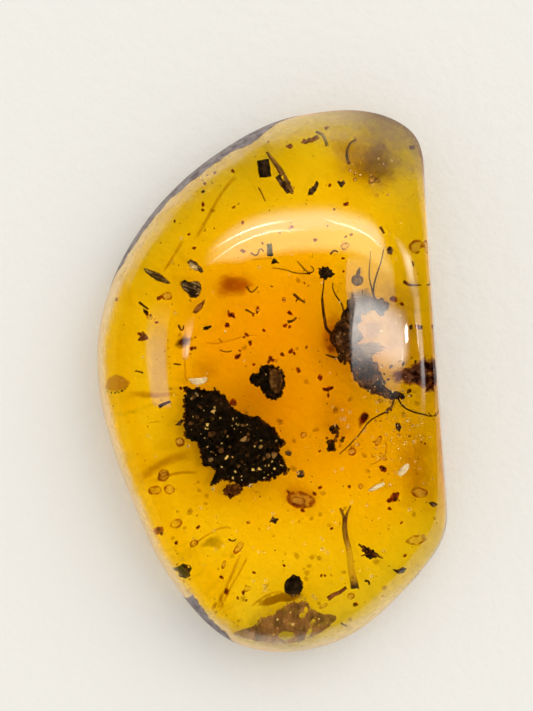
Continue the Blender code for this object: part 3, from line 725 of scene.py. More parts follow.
def stems(name, routes, rounding=2):
    """Tubes on smooth routes. Each route is its points, and its radius and height, all along or at each
    end."""
    curve = bpy.data.curves.new(name, "CURVE")
    curve.dimensions = "3D"
    curve.bevel_depth = 1.0
    curve.bevel_resolution = rounding
    curve.resolution_u = 4
    curve.use_fill_caps = True
    for points, radii, heights in routes:
        spline = curve.splines.new("BEZIER")
        spline.bezier_points.add(len(points) - 1)
        shares = np.linspace(0.0, 1.0, len(points))
        for knot, place, share in zip(spline.bezier_points, points, shares):
            knot.co = (*place, eased(heights, share))
            knot.radius = eased(radii, share)
            knot.handle_left_type = "AUTO"
            knot.handle_right_type = "AUTO"
    piece = bpy.data.objects.new(name, curve)
    bpy.context.scene.collection.objects.link(piece)
    pick(piece)
    bpy.ops.object.convert(target="MESH")
    face_outwards(merge=0.001)
    return piece


INSECT_LIMBS = (
    (((4.3, 2.3), (3.95, 2.42), (3.69, 2.55)), (0.13, 0.10), LAYER),
    (((3.72, 2.53), (3.44, 2.92), (3.40, 3.21), (3.34, 3.9), (3.33, 4.58)), (0.09, 0.075), LAYER),
    (((3.33, 4.55), (3.38, 4.9), (3.46, 5.3), (3.51, 5.63)), (0.05, 0.025), (LAYER, LAYER + 0.2)),
    (((4.5, 3.6), (4.38, 4.2), (4.08, 4.72), (3.97, 5.05), (3.99, 5.4)), (0.05, 0.03),
     (LAYER, LAYER - 0.4)),
    (((4.5, 1.2), (3.9, 1.2), (3.3, 1.42)), (0.08, 0.04), LAYER),
    (((4.55, 1.25), (4.42, 1.05), (4.30, 0.78)), (0.14, 0.07), LAYER),
    (((6.3, 4.2), (6.2, 4.55), (6.1, 5.1), (6.04, 5.6), (6.12, 6.3), (6.22, 7.02)), (0.05, 0.02),
     (LAYER, LAYER + 0.5)),
    (((6.45, 4.1), (6.22, 4.5), (6.24, 4.95), (6.36, 5.4), (6.60, 6.0), (6.80, 6.5), (6.95, 7.09)),
     (0.065, 0.03), (LAYER, LAYER + 0.5)),
    (((6.95, -1.2), (6.86, -1.6), (6.59, -1.92), (6.0, -2.2), (5.45, -2.5), (5.01, -3.02), (4.4, -3.6),
      (3.69, -4.19)),
     (0.06, 0.03), (LAYER, LAYER + 0.3)),
    (((7.15, -1.25), (7.43, -1.77), (7.94, -2.1), (8.6, -2.32), (9.0, -2.42), (9.16, -2.2)), (0.055, 0.04),
     LAYER),
    (((6.45, -2.1), (6.66, -1.84), (6.78, -1.98)), (0.1, 0.06), LAYER))
GRIT_PER_AREA = 90
BODY_GRIT = []
for x, y, rise, half_length, half_width, half_height, turn in BODY:
    for grain in range(int(GRIT_PER_AREA * half_length * half_width) + 4):
        reach, angle = math.sqrt(chance.uniform()) * 0.95, chance.uniform(0, math.tau)
        across, along = half_length * reach * math.cos(angle), half_width * reach * math.sin(angle)
        across, along = turned(across, along, math.radians(turn))
        height = LAYER + rise + half_height * math.sqrt(1 - reach ** 2)
        size, tint = chance.uniform(0.025, 0.075), chance.uniform(0.0, 0.72)
        BODY_GRIT.append((x + across, y + along, height, size, tint))
seal(crumbs("insect_grit", BODY_GRIT, 0.5, 1), frass, "insect_skin")
LIMB_CHITIN_TINTS = ((0.016, 0.005, 0.002), (0.06, 0.02, 0.006), (0.14, 0.055, 0.018))
limb_chitin = mottled("limb_chitin", LIMB_CHITIN_TINTS, 0.5, 0.4, 0.02)
seal(stems("insect_limbs", INSECT_LIMBS, 3), limb_chitin, "insect_skin")

membrane = Finish("wing_skin", {"Specular IOR Level": 0.6, "Roughness": 0.25})
membrane.vary("Base Color", membrane.ramp(membrane.noise(0.5, 4.0), (0.03, 0.015, 0.015), (0.2, 0.13, 0.10)))
wing_fade = membrane.frayed(membrane.noise(0.6, 3.0), 0.7, 0.5, 1.0)
membrane.vary("Alpha", wing_fade * (membrane.noise(0.5, 3.0).between(0.25, 0.7) * 0.5 + 0.3))
FORE_WING = (
    (4.7, 1.9), (5.3, 2.1), (5.8, 2.05), (6.5, 2.0), (6.75, 1.75), (6.6, 1.4), (6.0, 1.3), (5.6, 0.9),
    (4.9, 0.8))
UPPER_WING = (
    (4.75, 4.9), (5.4, 5.15), (6.0, 5.0), (6.35, 4.3), (6.1, 3.6), (5.5, 3.3), (5.0, 3.2), (4.7, 4.0))
FALLEN_WING = ((4.7, 3.4), (5.1, 3.5), (5.3, 3.0), (5.2, 2.4), (5.0, 1.6), (4.7, 1.6))
# Wings: name, corners, half thickness and height over the layer
WINGS = (
    ("insect_fore_wing", FORE_WING, 0.06, 0.5), ("insect_upper_wing", UPPER_WING, 0.06, 0.62),
    ("insect_fallen_wing", FALLEN_WING, 0.04, 0.65))
for name, edge, half_thickness, rise in WINGS:
    wing = scrap(name, edge, half_thickness, LAYER + rise, crumb=half_thickness, grain=2.5)
    seal(wing, membrane, "insect_skin")
VEINS = (
    (((4.9, 1.85), (5.6, 1.78), (6.7, 1.6)), (0.035, 0.015), LAYER + 0.56),
    (((4.95, 1.5), (5.6, 1.35), (6.4, 1.25)), (0.03, 0.015), LAYER + 0.56),
    (((5.0, 4.8), (5.1, 4.2), (5.3, 3.4)), (0.03, 0.015), LAYER + 0.68),
    (((5.6, 4.9), (5.6, 4.3), (5.7, 3.5)), (0.03, 0.015), LAYER + 0.68))
seal(stems("insect_wing_veins", VEINS, 1), chitin, "insect_skin")

# Red-brown resin and twig
# A rotten scrap of bark soaked in darker red resin beside the insect, and a short red-brown twig near the
# stone's other end.
RED_EDGE = (
    (6.7, -0.1), (6.9, 0.35), (7.3, 0.5), (7.7, 0.42), (8.1, 0.6), (8.4, 0.9), (8.9, 1.0), (9.38, 0.9),
    (9.42, 0.0), (9.38, -1.1), (8.9, -1.15), (8.4, -0.8), (8.05, -0.62), (7.75, -0.85), (7.5, -0.6),
    (7.0, -0.45))
RED_CORE = (
    (7.45, -0.1), (7.6, 0.22), (7.95, 0.3), (8.25, 0.42), (8.6, 0.3), (8.7, -0.1), (8.55, -0.5),
    (8.1, -0.42), (7.7, -0.4))
SOAKED_TINTS = ((0.02, 0.005, 0.006), (0.09, 0.026, 0.019), (0.24, 0.095, 0.065))
soaked = mottled("soaked_bark", SOAKED_TINTS, 0.5, 0.5, 0.05)
soaked.vary("Alpha", soaked.frayed(soaked.noise(0.5, 4.0, 0.6), 0.7, 0.55, 1.05) * 0.9)
red_mass = scrap("red_brown_mass", RED_CORE, 0.3, crumb=0.08, grain=3.0, fullness=2.4)
seal(red_mass, soaked, "red_resin", "red_brown_mass")


def skins(name, outlines, around=64, rings=9):
    """One mesh of thin flat skins. Each outline is its corners, height and tint, and rim runs from 0 in the
    middle of a skin to 1 at its edge."""
    angle = np.linspace(-math.pi, math.pi, around, endpoint=False)
    share = np.repeat(np.linspace(0.02, 1.0, rings), around)
    corner = np.arange(around * (rings - 1)).reshape(-1, around)
    beside = np.roll(corner, -1, axis=1)
    faces = np.stack([corner, beside, beside + around, corner + around], axis=-1).reshape(-1, 4)
    points = []
    for corners, height, tint in outlines:
        middle, corners = centred(corners)
        reach = reach_of(corners, angle)
        for soften in range(3):
            reach = (np.roll(reach, 1) + 2 * reach + np.roll(reach, -1)) / 4
        reach = np.tile(reach, rings) * share
        turn = np.tile(angle, rings)
        places = (middle[0] + reach * np.cos(turn), middle[1] + reach * np.sin(turn))
        points.append(np.column_stack([*places, np.full(len(turn), height)]))
    piece = new_ball(name, 1)
    rebuild(piece, points, copied(faces, len(outlines), len(share)))
    mark(piece, "rim", np.tile(share, len(outlines)))
    mark(piece, "tint", np.repeat([tint for corners, height, tint in outlines], len(share)))
    return piece


soak = Finish("red_soak", {"Roughness": 0.5, "Specular IOR Level": 0.1})
soak_patch = soak.noise(0.35, 5.0, 0.7)
soak_milky = soak.attribute("tint")
soak_bark = soak.ramp(soak_patch.between(0.3, 0.7), (0.03, 0.008, 0.006), (0.14, 0.05, 0.035),
                      (0.26, 0.13, 0.1))
soak_veil = soak_milky * soak_patch.between(0.3, 0.6)
soak.vary("Base Color", soak.mixed(soak_veil, soak_bark, (0.36, 0.19, 0.15, 1.0)))
soak_fade = soak.frayed(soak_patch, 1.2, 0.55, 1.0)
soak_body = soak_patch.between(0.35, 0.65) * 0.35 + soak_milky * 0.2 + 0.3
soak.dye((0.3, 0.08, 0.03), soak_fade, soak_fade * soak_body)
RED_INNER = (
    (7.0, 0.0), (7.4, 0.35), (8.0, 0.4), (8.6, 0.7), (9.36, 0.6), (9.38, -0.7), (8.5, -0.6), (7.8, -0.55),
    (7.2, -0.35))
RED_RIM = (
    (8.5, -0.1), (8.7, 0.6), (8.95, 0.95), (9.2, 1.05), (9.4, 0.95), (9.41, -0.1), (9.4, -1.2), (9.2, -1.3),
    (8.95, -1.15), (8.65, -0.7))
RED_SKINS = [(RED_EDGE, LAYER + 0.42, 0.0), (RED_INNER, LAYER + 0.32, 0.0), (RED_RIM, 2.25, 1.0)]
seal(skins("red_brown_soak", RED_SKINS), soak, "red_resin")
RED_CRUMBS = [(x, y, LAYER + 0.3, radius, tint) for x, y, radius, tint in (
    (6.7, -0.2, 0.12, 0.3), (6.9, 0.5, 0.1, 0.35), (7.6, 0.6, 0.12, 0.3), (8.3, 0.68, 0.1, 0.4),
    (7.8, -0.95, 0.12, 0.3), (7.9, -1.2, 0.08, 0.35), (7.4, 0.75, 0.06, 0.4), (8.1, 0.9, 0.06, 0.4),
    (6.5, 0.1, 0.06, 0.4))]
seal(crumbs("red_brown_crumbs", RED_CRUMBS), dust, "red_resin")
RED_TWIG = (((2.48, -12.23), (2.8, -12.02), (3.15, -11.9), (3.55, -11.65)), (0.14, 0.09), LAYER)
RED_TWIG_TINTS = ((0.05, 0.014, 0.004), (0.18, 0.06, 0.015), (0.36, 0.15, 0.05))
twig_bark = mottled("red_twig_bark", RED_TWIG_TINTS, 0.3, 0.5, 0.03)
seal(stems("red_brown_twig_bark", [RED_TWIG], 3), twig_bark, "red_resin", "red_brown_twig")

# Charred scraps
# Black brittle bits of charcoal and soil: a lump near the stone's near end with a paler root, a small
# cluster of crumbs, a ragged flake, and flat splinters with straight broken edges.
CHAR_TINTS = ((0.004, 0.003, 0.002), (0.016, 0.010, 0.007), (0.06, 0.035, 0.024))
char = mottled("charcoal", CHAR_TINTS, 0.25, 0.55, 0.04)
CHARRED_EDGE = (
    (0.14, -11.4), (0.2, -11.12), (0.34, -11.0), (0.5, -10.92), (0.64, -10.74), (0.8, -10.86),
    (0.95, -11.0), (1.08, -11.14), (1.1, -11.5), (1.0, -11.72), (0.82, -11.86), (0.42, -11.86),
    (0.2, -11.68))
coal = scrap("charred_lump_coal", CHARRED_EDGE, 0.36, crumb=0.06, grain=3.0, fullness=3.0)
seal(coal, char, "black_char", "charred_lump")
CHARRED_GRAINS = (
    (0.3, -11.15, 0.13, 0.02), (0.5, -11.02, 0.13, 0.05), (0.66, -10.9, 0.09, 0.1),
    (0.88, -11.1, 0.13, 0.02), (0.98, -11.4, 0.13, 0.05), (0.24, -11.45, 0.12, 0.1),
    (0.5, -11.35, 0.16, 0.2), (0.75, -11.3, 0.14, 0.1), (0.4, -11.82, 0.07, 0.6), (0.52, -11.9, 0.09, 0.66),
    (0.68, -11.9, 0.08, 0.6), (0.8, -11.8, 0.08, 0.5), (0.9, -11.86, 0.07, 0.62), (0.3, -11.66, 0.1, 0.3),
    (0.95, -11.66, 0.08, 0.4))
seal(crumbs("charred_lump_root", on_top(CHARRED_GRAINS, LAYER + 0.2), 0.3), frass, "black_char")
CLUSTER = (
    (3.35, -2.75, 0.2, 0.05), (3.55, -2.7, 0.18, 0.1), (3.45, -2.95, 0.17, 0.3), (3.62, -2.98, 0.1, 0.3),
    (3.2, -3.45, 0.17, 0.3), (3.3, -3.68, 0.2, 0.05), (3.15, -3.85, 0.13, 0.1), (3.38, -3.9, 0.1, 0.4),
    (3.87, -3.46, 0.13, 0.05), (3.95, -3.3, 0.08, 0.3), (3.05, -3.25, 0.08, 0.45), (3.6, -3.2, 0.1, 0.5),
    (3.5, -3.42, 0.09, 0.55))
seal(crumbs("dark_cluster_crumbs", on_top(CLUSTER, LAYER), 0.5), dust, "black_char", "dark_cluster")
RAGGED_EDGE = (
    (3.2, 6.0), (3.3, 6.14), (3.22, 6.3), (3.42, 6.24), (3.5, 6.36), (3.62, 6.24), (3.8, 6.34),
    (3.82, 6.18), (4.0, 6.1), (3.95, 5.98), (4.17, 5.86), (3.98, 5.78), (3.86, 5.66), (3.74, 5.74),
    (3.6, 5.58), (3.46, 5.7), (3.24, 5.66), (3.34, 5.84))
seal(scrap("ragged_flake_coal", RAGGED_EDGE, 0.14, crumb=0.03), char, "black_char", "ragged_flake")
SQUARE_EDGE = ((0.24, 12.5), (0.89, 12.57), (0.97, 11.58), (0.3, 11.54))
square = scrap("square_flake_coal", SQUARE_EDGE, 0.12, crumb=0.015, fullness=12.0)
seal(square, char, "black_char", "square_flake")


def fibrous(name, stops, turn, grain=0.09, relief=0.03):
    """Finish of fibres that run at this turn, in degrees, and wander through the stops."""
    made = Finish(name, {"Specular IOR Level": 0.08, "Roughness": 0.5})
    way = (0.0, 0.0, math.radians(turn))
    sockets = {"Vector": made.place(grain), "Rotation": way, "Scale": (8.0, 1.0, 1.0)}
    drawn_out = made.add("Mapping", {"vector_type": "TEXTURE"}, sockets)
    fibre = made.add("TexNoise", {}, {"Vector": drawn_out, "Scale": 1.0, "Detail": 4.0, "Roughness": 0.6})
    made.vary("Base Color", made.ramp(fibre.between(0.3, 0.7), *stops))
    made.bump(fibre, relief)
    return made


SPLINTER_DARK = (
    (1.2, 11.5), (1.4, 11.64), (1.62, 11.3), (1.84, 10.95), (1.95, 10.6), (1.75, 10.55), (1.5, 10.95),
    (1.3, 11.3))
SPLINTER_TINTS = ((0.010, 0.006, 0.005), (0.04, 0.02, 0.014), (0.2, 0.12, 0.08))
splinter = mottled("grey_bark", SPLINTER_TINTS, 0.25, 0.5, 0.03)
seal(scrap("splinter_bark", SPLINTER_DARK, 0.12, crumb=0.03, fullness=6.0), splinter, "dark_bark", "splinter")
SPLIT_TINTS = ((0.012, 0.006, 0.004), (0.09, 0.045, 0.015), (0.34, 0.19, 0.07), (0.05, 0.025, 0.012))
split_wood = fibrous("split_wood", SPLIT_TINTS, -60.0)
SPLINTER_FIBRE = (((0.8, 12.95), (1.1, 12.5), (1.35, 12.1), (1.62, 11.6)), (0.07, 0.17), LAYER)
seal(stems("splinter_fibre", [SPLINTER_FIBRE]), split_wood, "dark_bark")
SPLINTER_SIDE = (
    (1.62, 11.72), (1.8, 11.55), (1.98, 11.1), (2.15, 10.7), (2.1, 10.5), (1.9, 10.6), (1.7, 11.1))
side = scrap("splinter_side", SPLINTER_SIDE, 0.1, LAYER + 0.1, crumb=0.03, fullness=6.0)
seal(side, split_wood, "dark_bark")
OBLONG_EDGE = ((0.42, 7.8), (0.74, 7.86), (0.72, 7.6), (0.76, 7.2), (0.6, 7.13), (0.4, 7.16), (0.5, 7.5))
oblong = scrap("oblong_flake_scale", OBLONG_EDGE, 0.1, crumb=0.03, fullness=6.0)
seal(oblong, splinter, "grey_scrap", "oblong_flake")
DARK_CHIPS = {
    "triangle_flake": ((0.58, 6.66), (0.8, 6.95), (1.09, 6.68), (0.85, 6.72)),
    "heart_chip": (
        (4.6, 11.02), (4.72, 11.06), (4.82, 10.98), (5.0, 11.1), (5.06, 10.9), (4.88, 10.68), (4.78, 10.72),
        (4.72, 10.88)),
    "star_chip": (
        (-0.52, -7.7), (-0.34, -7.56), (-0.3, -7.4), (-0.18, -7.54), (0.02, -7.55), (-0.1, -7.7),
        (-0.12, -7.85), (-0.3, -7.76)),
    "square_chip": ((1.22, -5.0), (1.6, -4.95), (1.66, -5.3), (1.5, -5.4), (1.25, -5.3)),
    "black_chip": ((0.62, -3.85), (0.85, -3.76), (1.05, -3.9), (0.9, -4.08), (0.68, -4.02)),
    "black_slab": ((-3.47, 3.28), (-3.4, 3.42), (-3.0, 3.52), (-2.94, 3.4), (-3.3, 3.24)),
    "right_chip": ((6.92, -2.65), (7.16, -2.7), (7.24, -2.95), (7.12, -3.18), (6.96, -3.0)),
    "left_chip": ((-5.4, -1.92), (-5.2, -1.8), (-5.0, -1.6), (-4.92, -1.78), (-5.05, -1.95)),
    "light_flake": ((-3.02, 10.98), (-2.9, 11.1), (-2.8, 11.0), (-2.92, 10.9)),
    "top_chunk": (
        (2.9, 10.35), (3.05, 10.75), (3.2, 10.7), (3.45, 11.15), (3.58, 11.0), (3.4, 10.6), (3.2, 10.4)),
    "top_chip": ((8.78, 12.72), (9.02, 12.74), (9.08, 12.56), (8.85, 12.5)),
    "clay_chip": ((7.1, 7.05), (7.3, 7.2), (7.45, 7.0), (7.4, 6.75), (7.15, 6.8)),
}
# The flakes and the slab are charred, and the chips are bark
for name, edge in DARK_CHIPS.items():
    chip = scrap(name, edge, 0.09, LAYER + 0.3, crumb=0.025, detail=4)
    seal(chip, char if name.endswith(("flake", "slab")) else splinter, "black_char")

# Seeds, husk and winged flakes
# Bits of plant: a dark seed with a grey bloom, a split olive husk, an orange splinter of wood, and grey
# flakes with pale worn faces.
SEED_EDGE = (
    (-4.46, 6.0), (-4.2, 6.07), (-3.9, 5.95), (-3.55, 6.02), (-3.4, 5.7), (-3.5, 5.35), (-3.75, 5.15),
    (-4.0, 5.2), (-4.2, 5.45), (-4.44, 5.7))
SEED_COAT_TINTS = ((0.008, 0.005, 0.004), (0.03, 0.018, 0.012), (0.12, 0.08, 0.055), (0.5, 0.4, 0.28))
seed_coat = fibrous("seed_coat", SEED_COAT_TINTS, -25.0, 0.12)
kernel = scrap("dark_seed_kernel", SEED_EDGE, 0.26, crumb=0.06, fullness=3.0)
seal(kernel, seed_coat, "dark_bark", "dark_seed")
HUSK_EDGE = (
    (-6.5, 6.95), (-6.2, 6.86), (-5.7, 6.62), (-5.25, 6.25), (-5.08, 6.0), (-5.3, 5.98), (-5.75, 6.16),
    (-6.15, 6.45), (-6.42, 6.72))
HUSK_TINTS = ((0.012, 0.006, 0.003), (0.06, 0.03, 0.01), (0.2, 0.13, 0.04), (0.42, 0.32, 0.12))
husk = fibrous("husk", HUSK_TINTS, -34.0, 0.11)
seal(scrap("seed_husk_shell", HUSK_EDGE, 0.14, crumb=0.02, fullness=3.0), husk, "olive_husk", "seed_husk")
ORANGE_EDGE = (
    (-2.93, -5.75), (-2.6, -5.55), (-2.2, -5.5), (-1.86, -5.7), (-2.0, -5.95), (-2.35, -6.05),
    (-2.55, -6.2), (-2.8, -6.0))
ORANGE_WOOD_TINTS = ((0.03, 0.012, 0.006), (0.12, 0.04, 0.012), (0.32, 0.14, 0.05))
orange_wood = mottled("orange_wood", ORANGE_WOOD_TINTS, 0.3, 0.5, 0.03)
fragment = scrap("orange_fragment_wood", ORANGE_EDGE, 0.2, crumb=0.08)
seal(fragment, orange_wood, "orange_wood", "orange_fragment")
orange_bits = [(*grain[:4], 0.2 + grain[4]) for grain in heap(ORANGE_EDGE, 110, 0.07, 0.24, 0.2, 1.05)]
seal(crumbs("orange_fragment_crumbs", orange_bits, 0.5, 1), dust, "orange_wood")
CHIP_EDGE = (
    (-4.1, 7.1), (-3.85, 7.28), (-3.55, 7.05), (-3.3, 6.8), (-3.18, 6.52), (-3.35, 6.47), (-3.6, 6.75),
    (-3.9, 6.95))
PALE_SCALE_TINTS = ((0.2, 0.15, 0.1), (0.5, 0.42, 0.32), (0.85, 0.78, 0.66))
pale_scale = mottled("pale_scale", PALE_SCALE_TINTS, 0.3, 0.5, 0.02)
chip_scale = fibrous("chip_scale", ((0.02, 0.012, 0.008), (0.12, 0.075, 0.04), (0.4, 0.3, 0.18)), -38.0)
seal(scrap("two_tone_chip_scale", CHIP_EDGE, 0.1, crumb=0.03), chip_scale, "grey_scrap", "two_tone_chip")
CHIP_BLOOM = ((-3.98, 6.95), (-3.78, 7.03), (-3.55, 6.86), (-3.5, 6.66), (-3.62, 6.6), (-3.86, 6.78))
bloom = scrap("two_tone_chip_bloom", CHIP_BLOOM, 0.06, LAYER + 0.1, crumb=0.03, detail=4)
seal(bloom, pale_scale, "grey_scrap")
GREY_WING = (
    (-6.15, -9.95), (-5.7, -9.8), (-5.45, -9.7), (-5.1, -9.8), (-5.0, -10.0), (-5.15, -10.2),
    (-5.1, -10.42), (-5.4, -10.5), (-5.75, -10.35), (-5.7, -10.15))
seal(scrap("grey_flake_scale", GREY_WING, 0.1, crumb=0.03), splinter, "grey_scrap", "grey_flake")
BIRD_FLAKE = (
    (4.55, -9.42), (4.8, -9.45), (5.0, -9.7), (5.25, -9.78), (5.66, -10.12), (5.3, -10.06), (5.0, -10.12),
    (4.7, -9.98), (4.8, -9.85), (4.62, -9.7))
seal(scrap("winged_flake_coal", BIRD_FLAKE, 0.1, crumb=0.07, grain=6.0), char, "black_char", "winged_flake")
RED_FIBRE_TINTS = ((0.05, 0.012, 0.003), (0.22, 0.07, 0.012), (0.42, 0.18, 0.04), (0.12, 0.035, 0.008))
red_fibre = fibrous("red_fibre", RED_FIBRE_TINTS, 35.0)
red_fibre.vary("Alpha", red_fibre.noise(0.3, 4.0).between(0.2, 0.6) * 0.35 + 0.6)
LEAF_SCRAPS = {
    "chevron_flake": (
        (6.15, -10.78), (6.5, -10.9), (6.75, -10.72), (7.0, -10.82), (6.8, -11.05), (6.5, -11.1)),
    "brown_triangle_leaf": (
        (-7.14, 2.94), (-6.96, 3.25), (-6.82, 3.42), (-6.62, 3.2), (-6.52, 3.0), (-6.85, 2.9)),
    "left_dart": ((-6.72, 4.72), (-6.55, 4.62), (-6.4, 4.5), (-6.48, 4.36), (-6.68, 4.5)),
    "red_leaf": (
        (-3.98, 4.3), (-3.75, 4.62), (-3.4, 4.86), (-3.2, 5.02), (-3.3, 4.7), (-3.5, 4.4), (-3.8, 4.2)),
    "twig_leaf": (
        (2.67, 13.35), (3.07, 13.49), (3.41, 13.58), (3.7, 13.73), (3.8, 13.49), (3.4, 13.35),
        (3.0, 13.27)),
    "crumb_leaf": ((1.87, 13.18), (2.16, 13.33), (2.32, 13.2), (2.14, 13.05)),
    "right_chevron": ((8.45, -7.25), (8.7, -7.2), (8.95, -7.38), (8.7, -7.5)),
}
for name, edge in LEAF_SCRAPS.items():
    leaf = scrap(name, edge, 0.08, LAYER + 0.2, crumb=0.025, detail=4)
    seal(leaf, red_fibre if "leaf" in name else splinter, "grey_scrap")
SLIVERS = (
    (((-6.22, -0.85), (-5.85, -0.68), (-5.53, -0.6)), (0.11, 0.06), 3.2),
    (((-6.92, 5.08), (-6.6, 4.8), (-6.4, 4.64)), (0.07, 0.05), 2.8),
    (((6.85, 8.35), (7.05, 7.95)), (0.08, 0.06), 3.0),
    (((8.5, 6.3), (8.56, 6.0)), (0.06, 0.04), 2.4),
    (((0.21, 11.0), (0.35, 10.7), (0.54, 10.2)), (0.04, 0.03), 3.0),
    (((3.1, -13.62), (3.4, -13.8), (3.7, -13.9)), (0.05, 0.04), 1.8),
    (((-5.2, 1.5), (-4.8, 1.42)), (0.05, 0.04), 3.2),
    (((-2.6, 2.1), (-2.2, 1.95), (-1.9, 2.0)), (0.03, 0.03), 3.0),
    (((-7.4, 1.25), (-7.18, 1.2), (-6.95, 1.1)), (0.04, 0.05), 2.6),
    (((-0.84, 5.55), (-0.6, 5.2), (-0.4, 5.3), (-0.2, 5.5)), (0.05, 0.03), 3.4),
    (((-1.0, 4.25), (-0.75, 4.1), (-0.5, 3.95)), (0.06, 0.03), 3.0),
    (((1.75, 4.94), (2.0, 4.68), (2.37, 4.39)), (0.08, 0.05), 3.0),
    (((2.0, 4.68), (1.85, 4.5)), (0.06, 0.04), 3.0),
    (((1.3, 3.4), (1.55, 3.42), (1.82, 3.6)), (0.09, 0.05), 3.0),
    (((2.70, 6.01), (2.3, 6.45), (2.08, 6.76)), (0.04, 0.025), 3.4),
    (((2.70, 6.01), (2.96, 6.14), (2.81, 6.47)), (0.04, 0.02), 3.4),
    (((2.65, 6.0), (1.93, 6.10), (1.42, 6.29), (0.65, 6.47)), (0.04, 0.02), 3.4),
    (((3.95, 7.0), (4.2, 7.18), (4.39, 7.1)), (0.06, 0.04), 3.2),
    (((7.94, 5.2), (8.2, 5.0), (8.46, 4.95), (9.1, 4.92)), (0.1, 0.03), (2.8, 2.6)),
    (((-0.49, 7.39), (-0.16, 7.24), (0.1, 7.57), (0.25, 7.42)), (0.05, 0.04), 3.6),
    (((-2.85, -8.5), (-2.6, -8.62), (-2.4, -8.52)), (0.05, 0.03), 3.0),
    (((-4.0, 2.35), (-3.9, 2.25)), (0.09, 0.07), 3.0),
    (((-4.8, 3.65), (-4.62, 3.35), (-4.5, 3.6)), (0.06, 0.04), 3.2),
    (((4.6, -11.35), (4.8, -11.4), (4.85, -11.6)), (0.07, 0.05), 2.4),
    (((4.4, -9.28), (4.62, -9.5), (4.85, -9.75)), (0.05, 0.08), 2.7),
    (((4.9, -9.5), (5.15, -9.85), (5.72, -10.18)), (0.07, 0.03), 2.7),
    (((4.5, -9.95), (4.9, -9.88), (5.3, -9.95)), (0.04, 0.06), 2.7))
SLIVER_BARK_TINTS = ((0.018, 0.005, 0.002), (0.09, 0.026, 0.005), (0.24, 0.09, 0.02))
sliver_bark = mottled("sliver_bark", SLIVER_BARK_TINTS, 0.3, 0.5, 0.02)
seal(stems("bark_slivers", SLIVERS), sliver_bark, "dark_bark")

# Round ball
# A little grey-brown gall or egg with a broken stalk, sealed beyond the insect. Its solid has the right shape
# and only gets its skin.
gall = mottled("gall_skin", ((0.05, 0.035, 0.03), (0.2, 0.14, 0.11), (0.3, 0.24, 0.2)), 0.25, 0.4, 0.03)
gall_solid = frame["nodes"]["round_ball"]
gall_solid.data.materials.clear()
gall_solid.data.materials.append(gall.material)

# Twigs and hairs
# A bent grey-green twig and a curved brown filament, sealed at the stone's far end, with golden broken ends.
# Each is a thin round stem of plant fibre.
twig = mottled("twig_bark", ((0.05, 0.03, 0.012), (0.2, 0.15, 0.07), (0.36, 0.3, 0.16)), 0.3, 0.5, 0.02)
BENT = (((3.62, 13.9), (3.9, 13.75), (4.06, 13.58), (4.15, 13.3), (4.2, 13.05)), (0.08, 0.09), LAYER)
seal(stems("bent_twig_bark", [BENT], 3), twig, "grey_scrap", "bent_twig")
FILAMENT_TINTS = ((0.02, 0.01, 0.004), (0.08, 0.04, 0.012), (0.2, 0.11, 0.03))
filament = mottled("filament", FILAMENT_TINTS, 0.3, 0.4, 0.01)
CURVED = (
    ((5.86, 13.3), (5.6, 13.2), (5.42, 13.0), (5.27, 12.55), (5.29, 12.2), (5.38, 11.95)),
    (0.05, 0.09),
    LAYER)
seal(stems("curved_filament_skin", [CURVED], 3), filament, "dark_bark", "curved_filament")
gold = mottled("gold_fibre", ((0.2, 0.07, 0.01), (0.7, 0.42, 0.08), (1.0, 0.85, 0.4)), 0.2, 0.4, 0.02)
STAR_RAYS = (
    ((6.36, 10.78), (6.5, 10.88), (6.6, 10.95)),
    ((6.6, 10.95), (6.52, 11.1), (6.55, 11.28)),
    ((6.6, 10.95), (6.76, 11.02), (6.9, 11.0)),
    ((6.6, 10.95), (6.62, 10.78), (6.56, 10.66)),
    ((6.4, 11.06), (6.5, 11.0), (6.6, 10.95)))
rays = [(ray, (0.03, 0.045), (LAYER + 0.6, LAYER + 0.65)) for ray in STAR_RAYS]
seal(stems("golden_star", rays), gold, "tan_stem")
END_FIBRES = (
    ((5.84, 13.28), (5.95, 13.2), (6.02, 13.3)),
    ((5.86, 13.3), (5.8, 13.45), (5.72, 13.6)),
    ((5.38, 12.0), (5.5, 11.9), (5.62, 11.95)))
seal(stems("filament_ends", [(ray, (0.045, 0.02), LAYER) for ray in END_FIBRES]), gold, "tan_stem")

# Plant stalk
# A forked brown stalk, hollow and half clear, darkest at its broken end. It lies where the resin caught it,
# right of the stone's near end.
stalk_skin = Finish("stalk_skin", {"Roughness": 0.35, "Specular IOR Level": 0.3})
streaks = stalk_skin.add("Mapping", {}, {"Vector": stalk_skin.place(0.12), "Scale": (1.0, 0.08, 1.0)})
fibre = stalk_skin.add("TexNoise", {}, {"Vector": streaks, "Scale": 1.0, "Detail": 3.0}).between(0.35, 0.65)
height_on = stalk_skin.add("SeparateXYZ", {}, {0: stalk_skin.place()}, output=1)
dark_end = 1.0 - height_on.between(-11.1, -10.4)
neck = height_on.between(-9.3, -8.0)
golden = stalk_skin.ramp(fibre, (0.2, 0.06, 0.006), (0.6, 0.28, 0.03))
browned = stalk_skin.mixed(neck, golden, (0.14, 0.035, 0.006, 1.0))
stalk_skin.vary("Base Color", stalk_skin.mixed(dark_end, browned, (0.022, 0.009, 0.005, 1.0)))
stalk_skin.vary("Alpha", fibre * 0.25 + 0.16 + neck * 0.35 + dark_end * 0.6)
STALK_ROUTES = (
    (((3.73, -7.75), (3.69, -8.6), (3.84, -9.63), (3.9, -10.7), (4.0, -11.45), (4.02, -11.75)),
     (0.13, 0.24), LAYER),
    (((3.74, -8.0), (3.66, -7.6), (3.5, -7.2)), (0.11, 0.06), LAYER),
    (((3.74, -8.0), (3.86, -7.6), (4.1, -7.1)), (0.11, 0.05), LAYER))
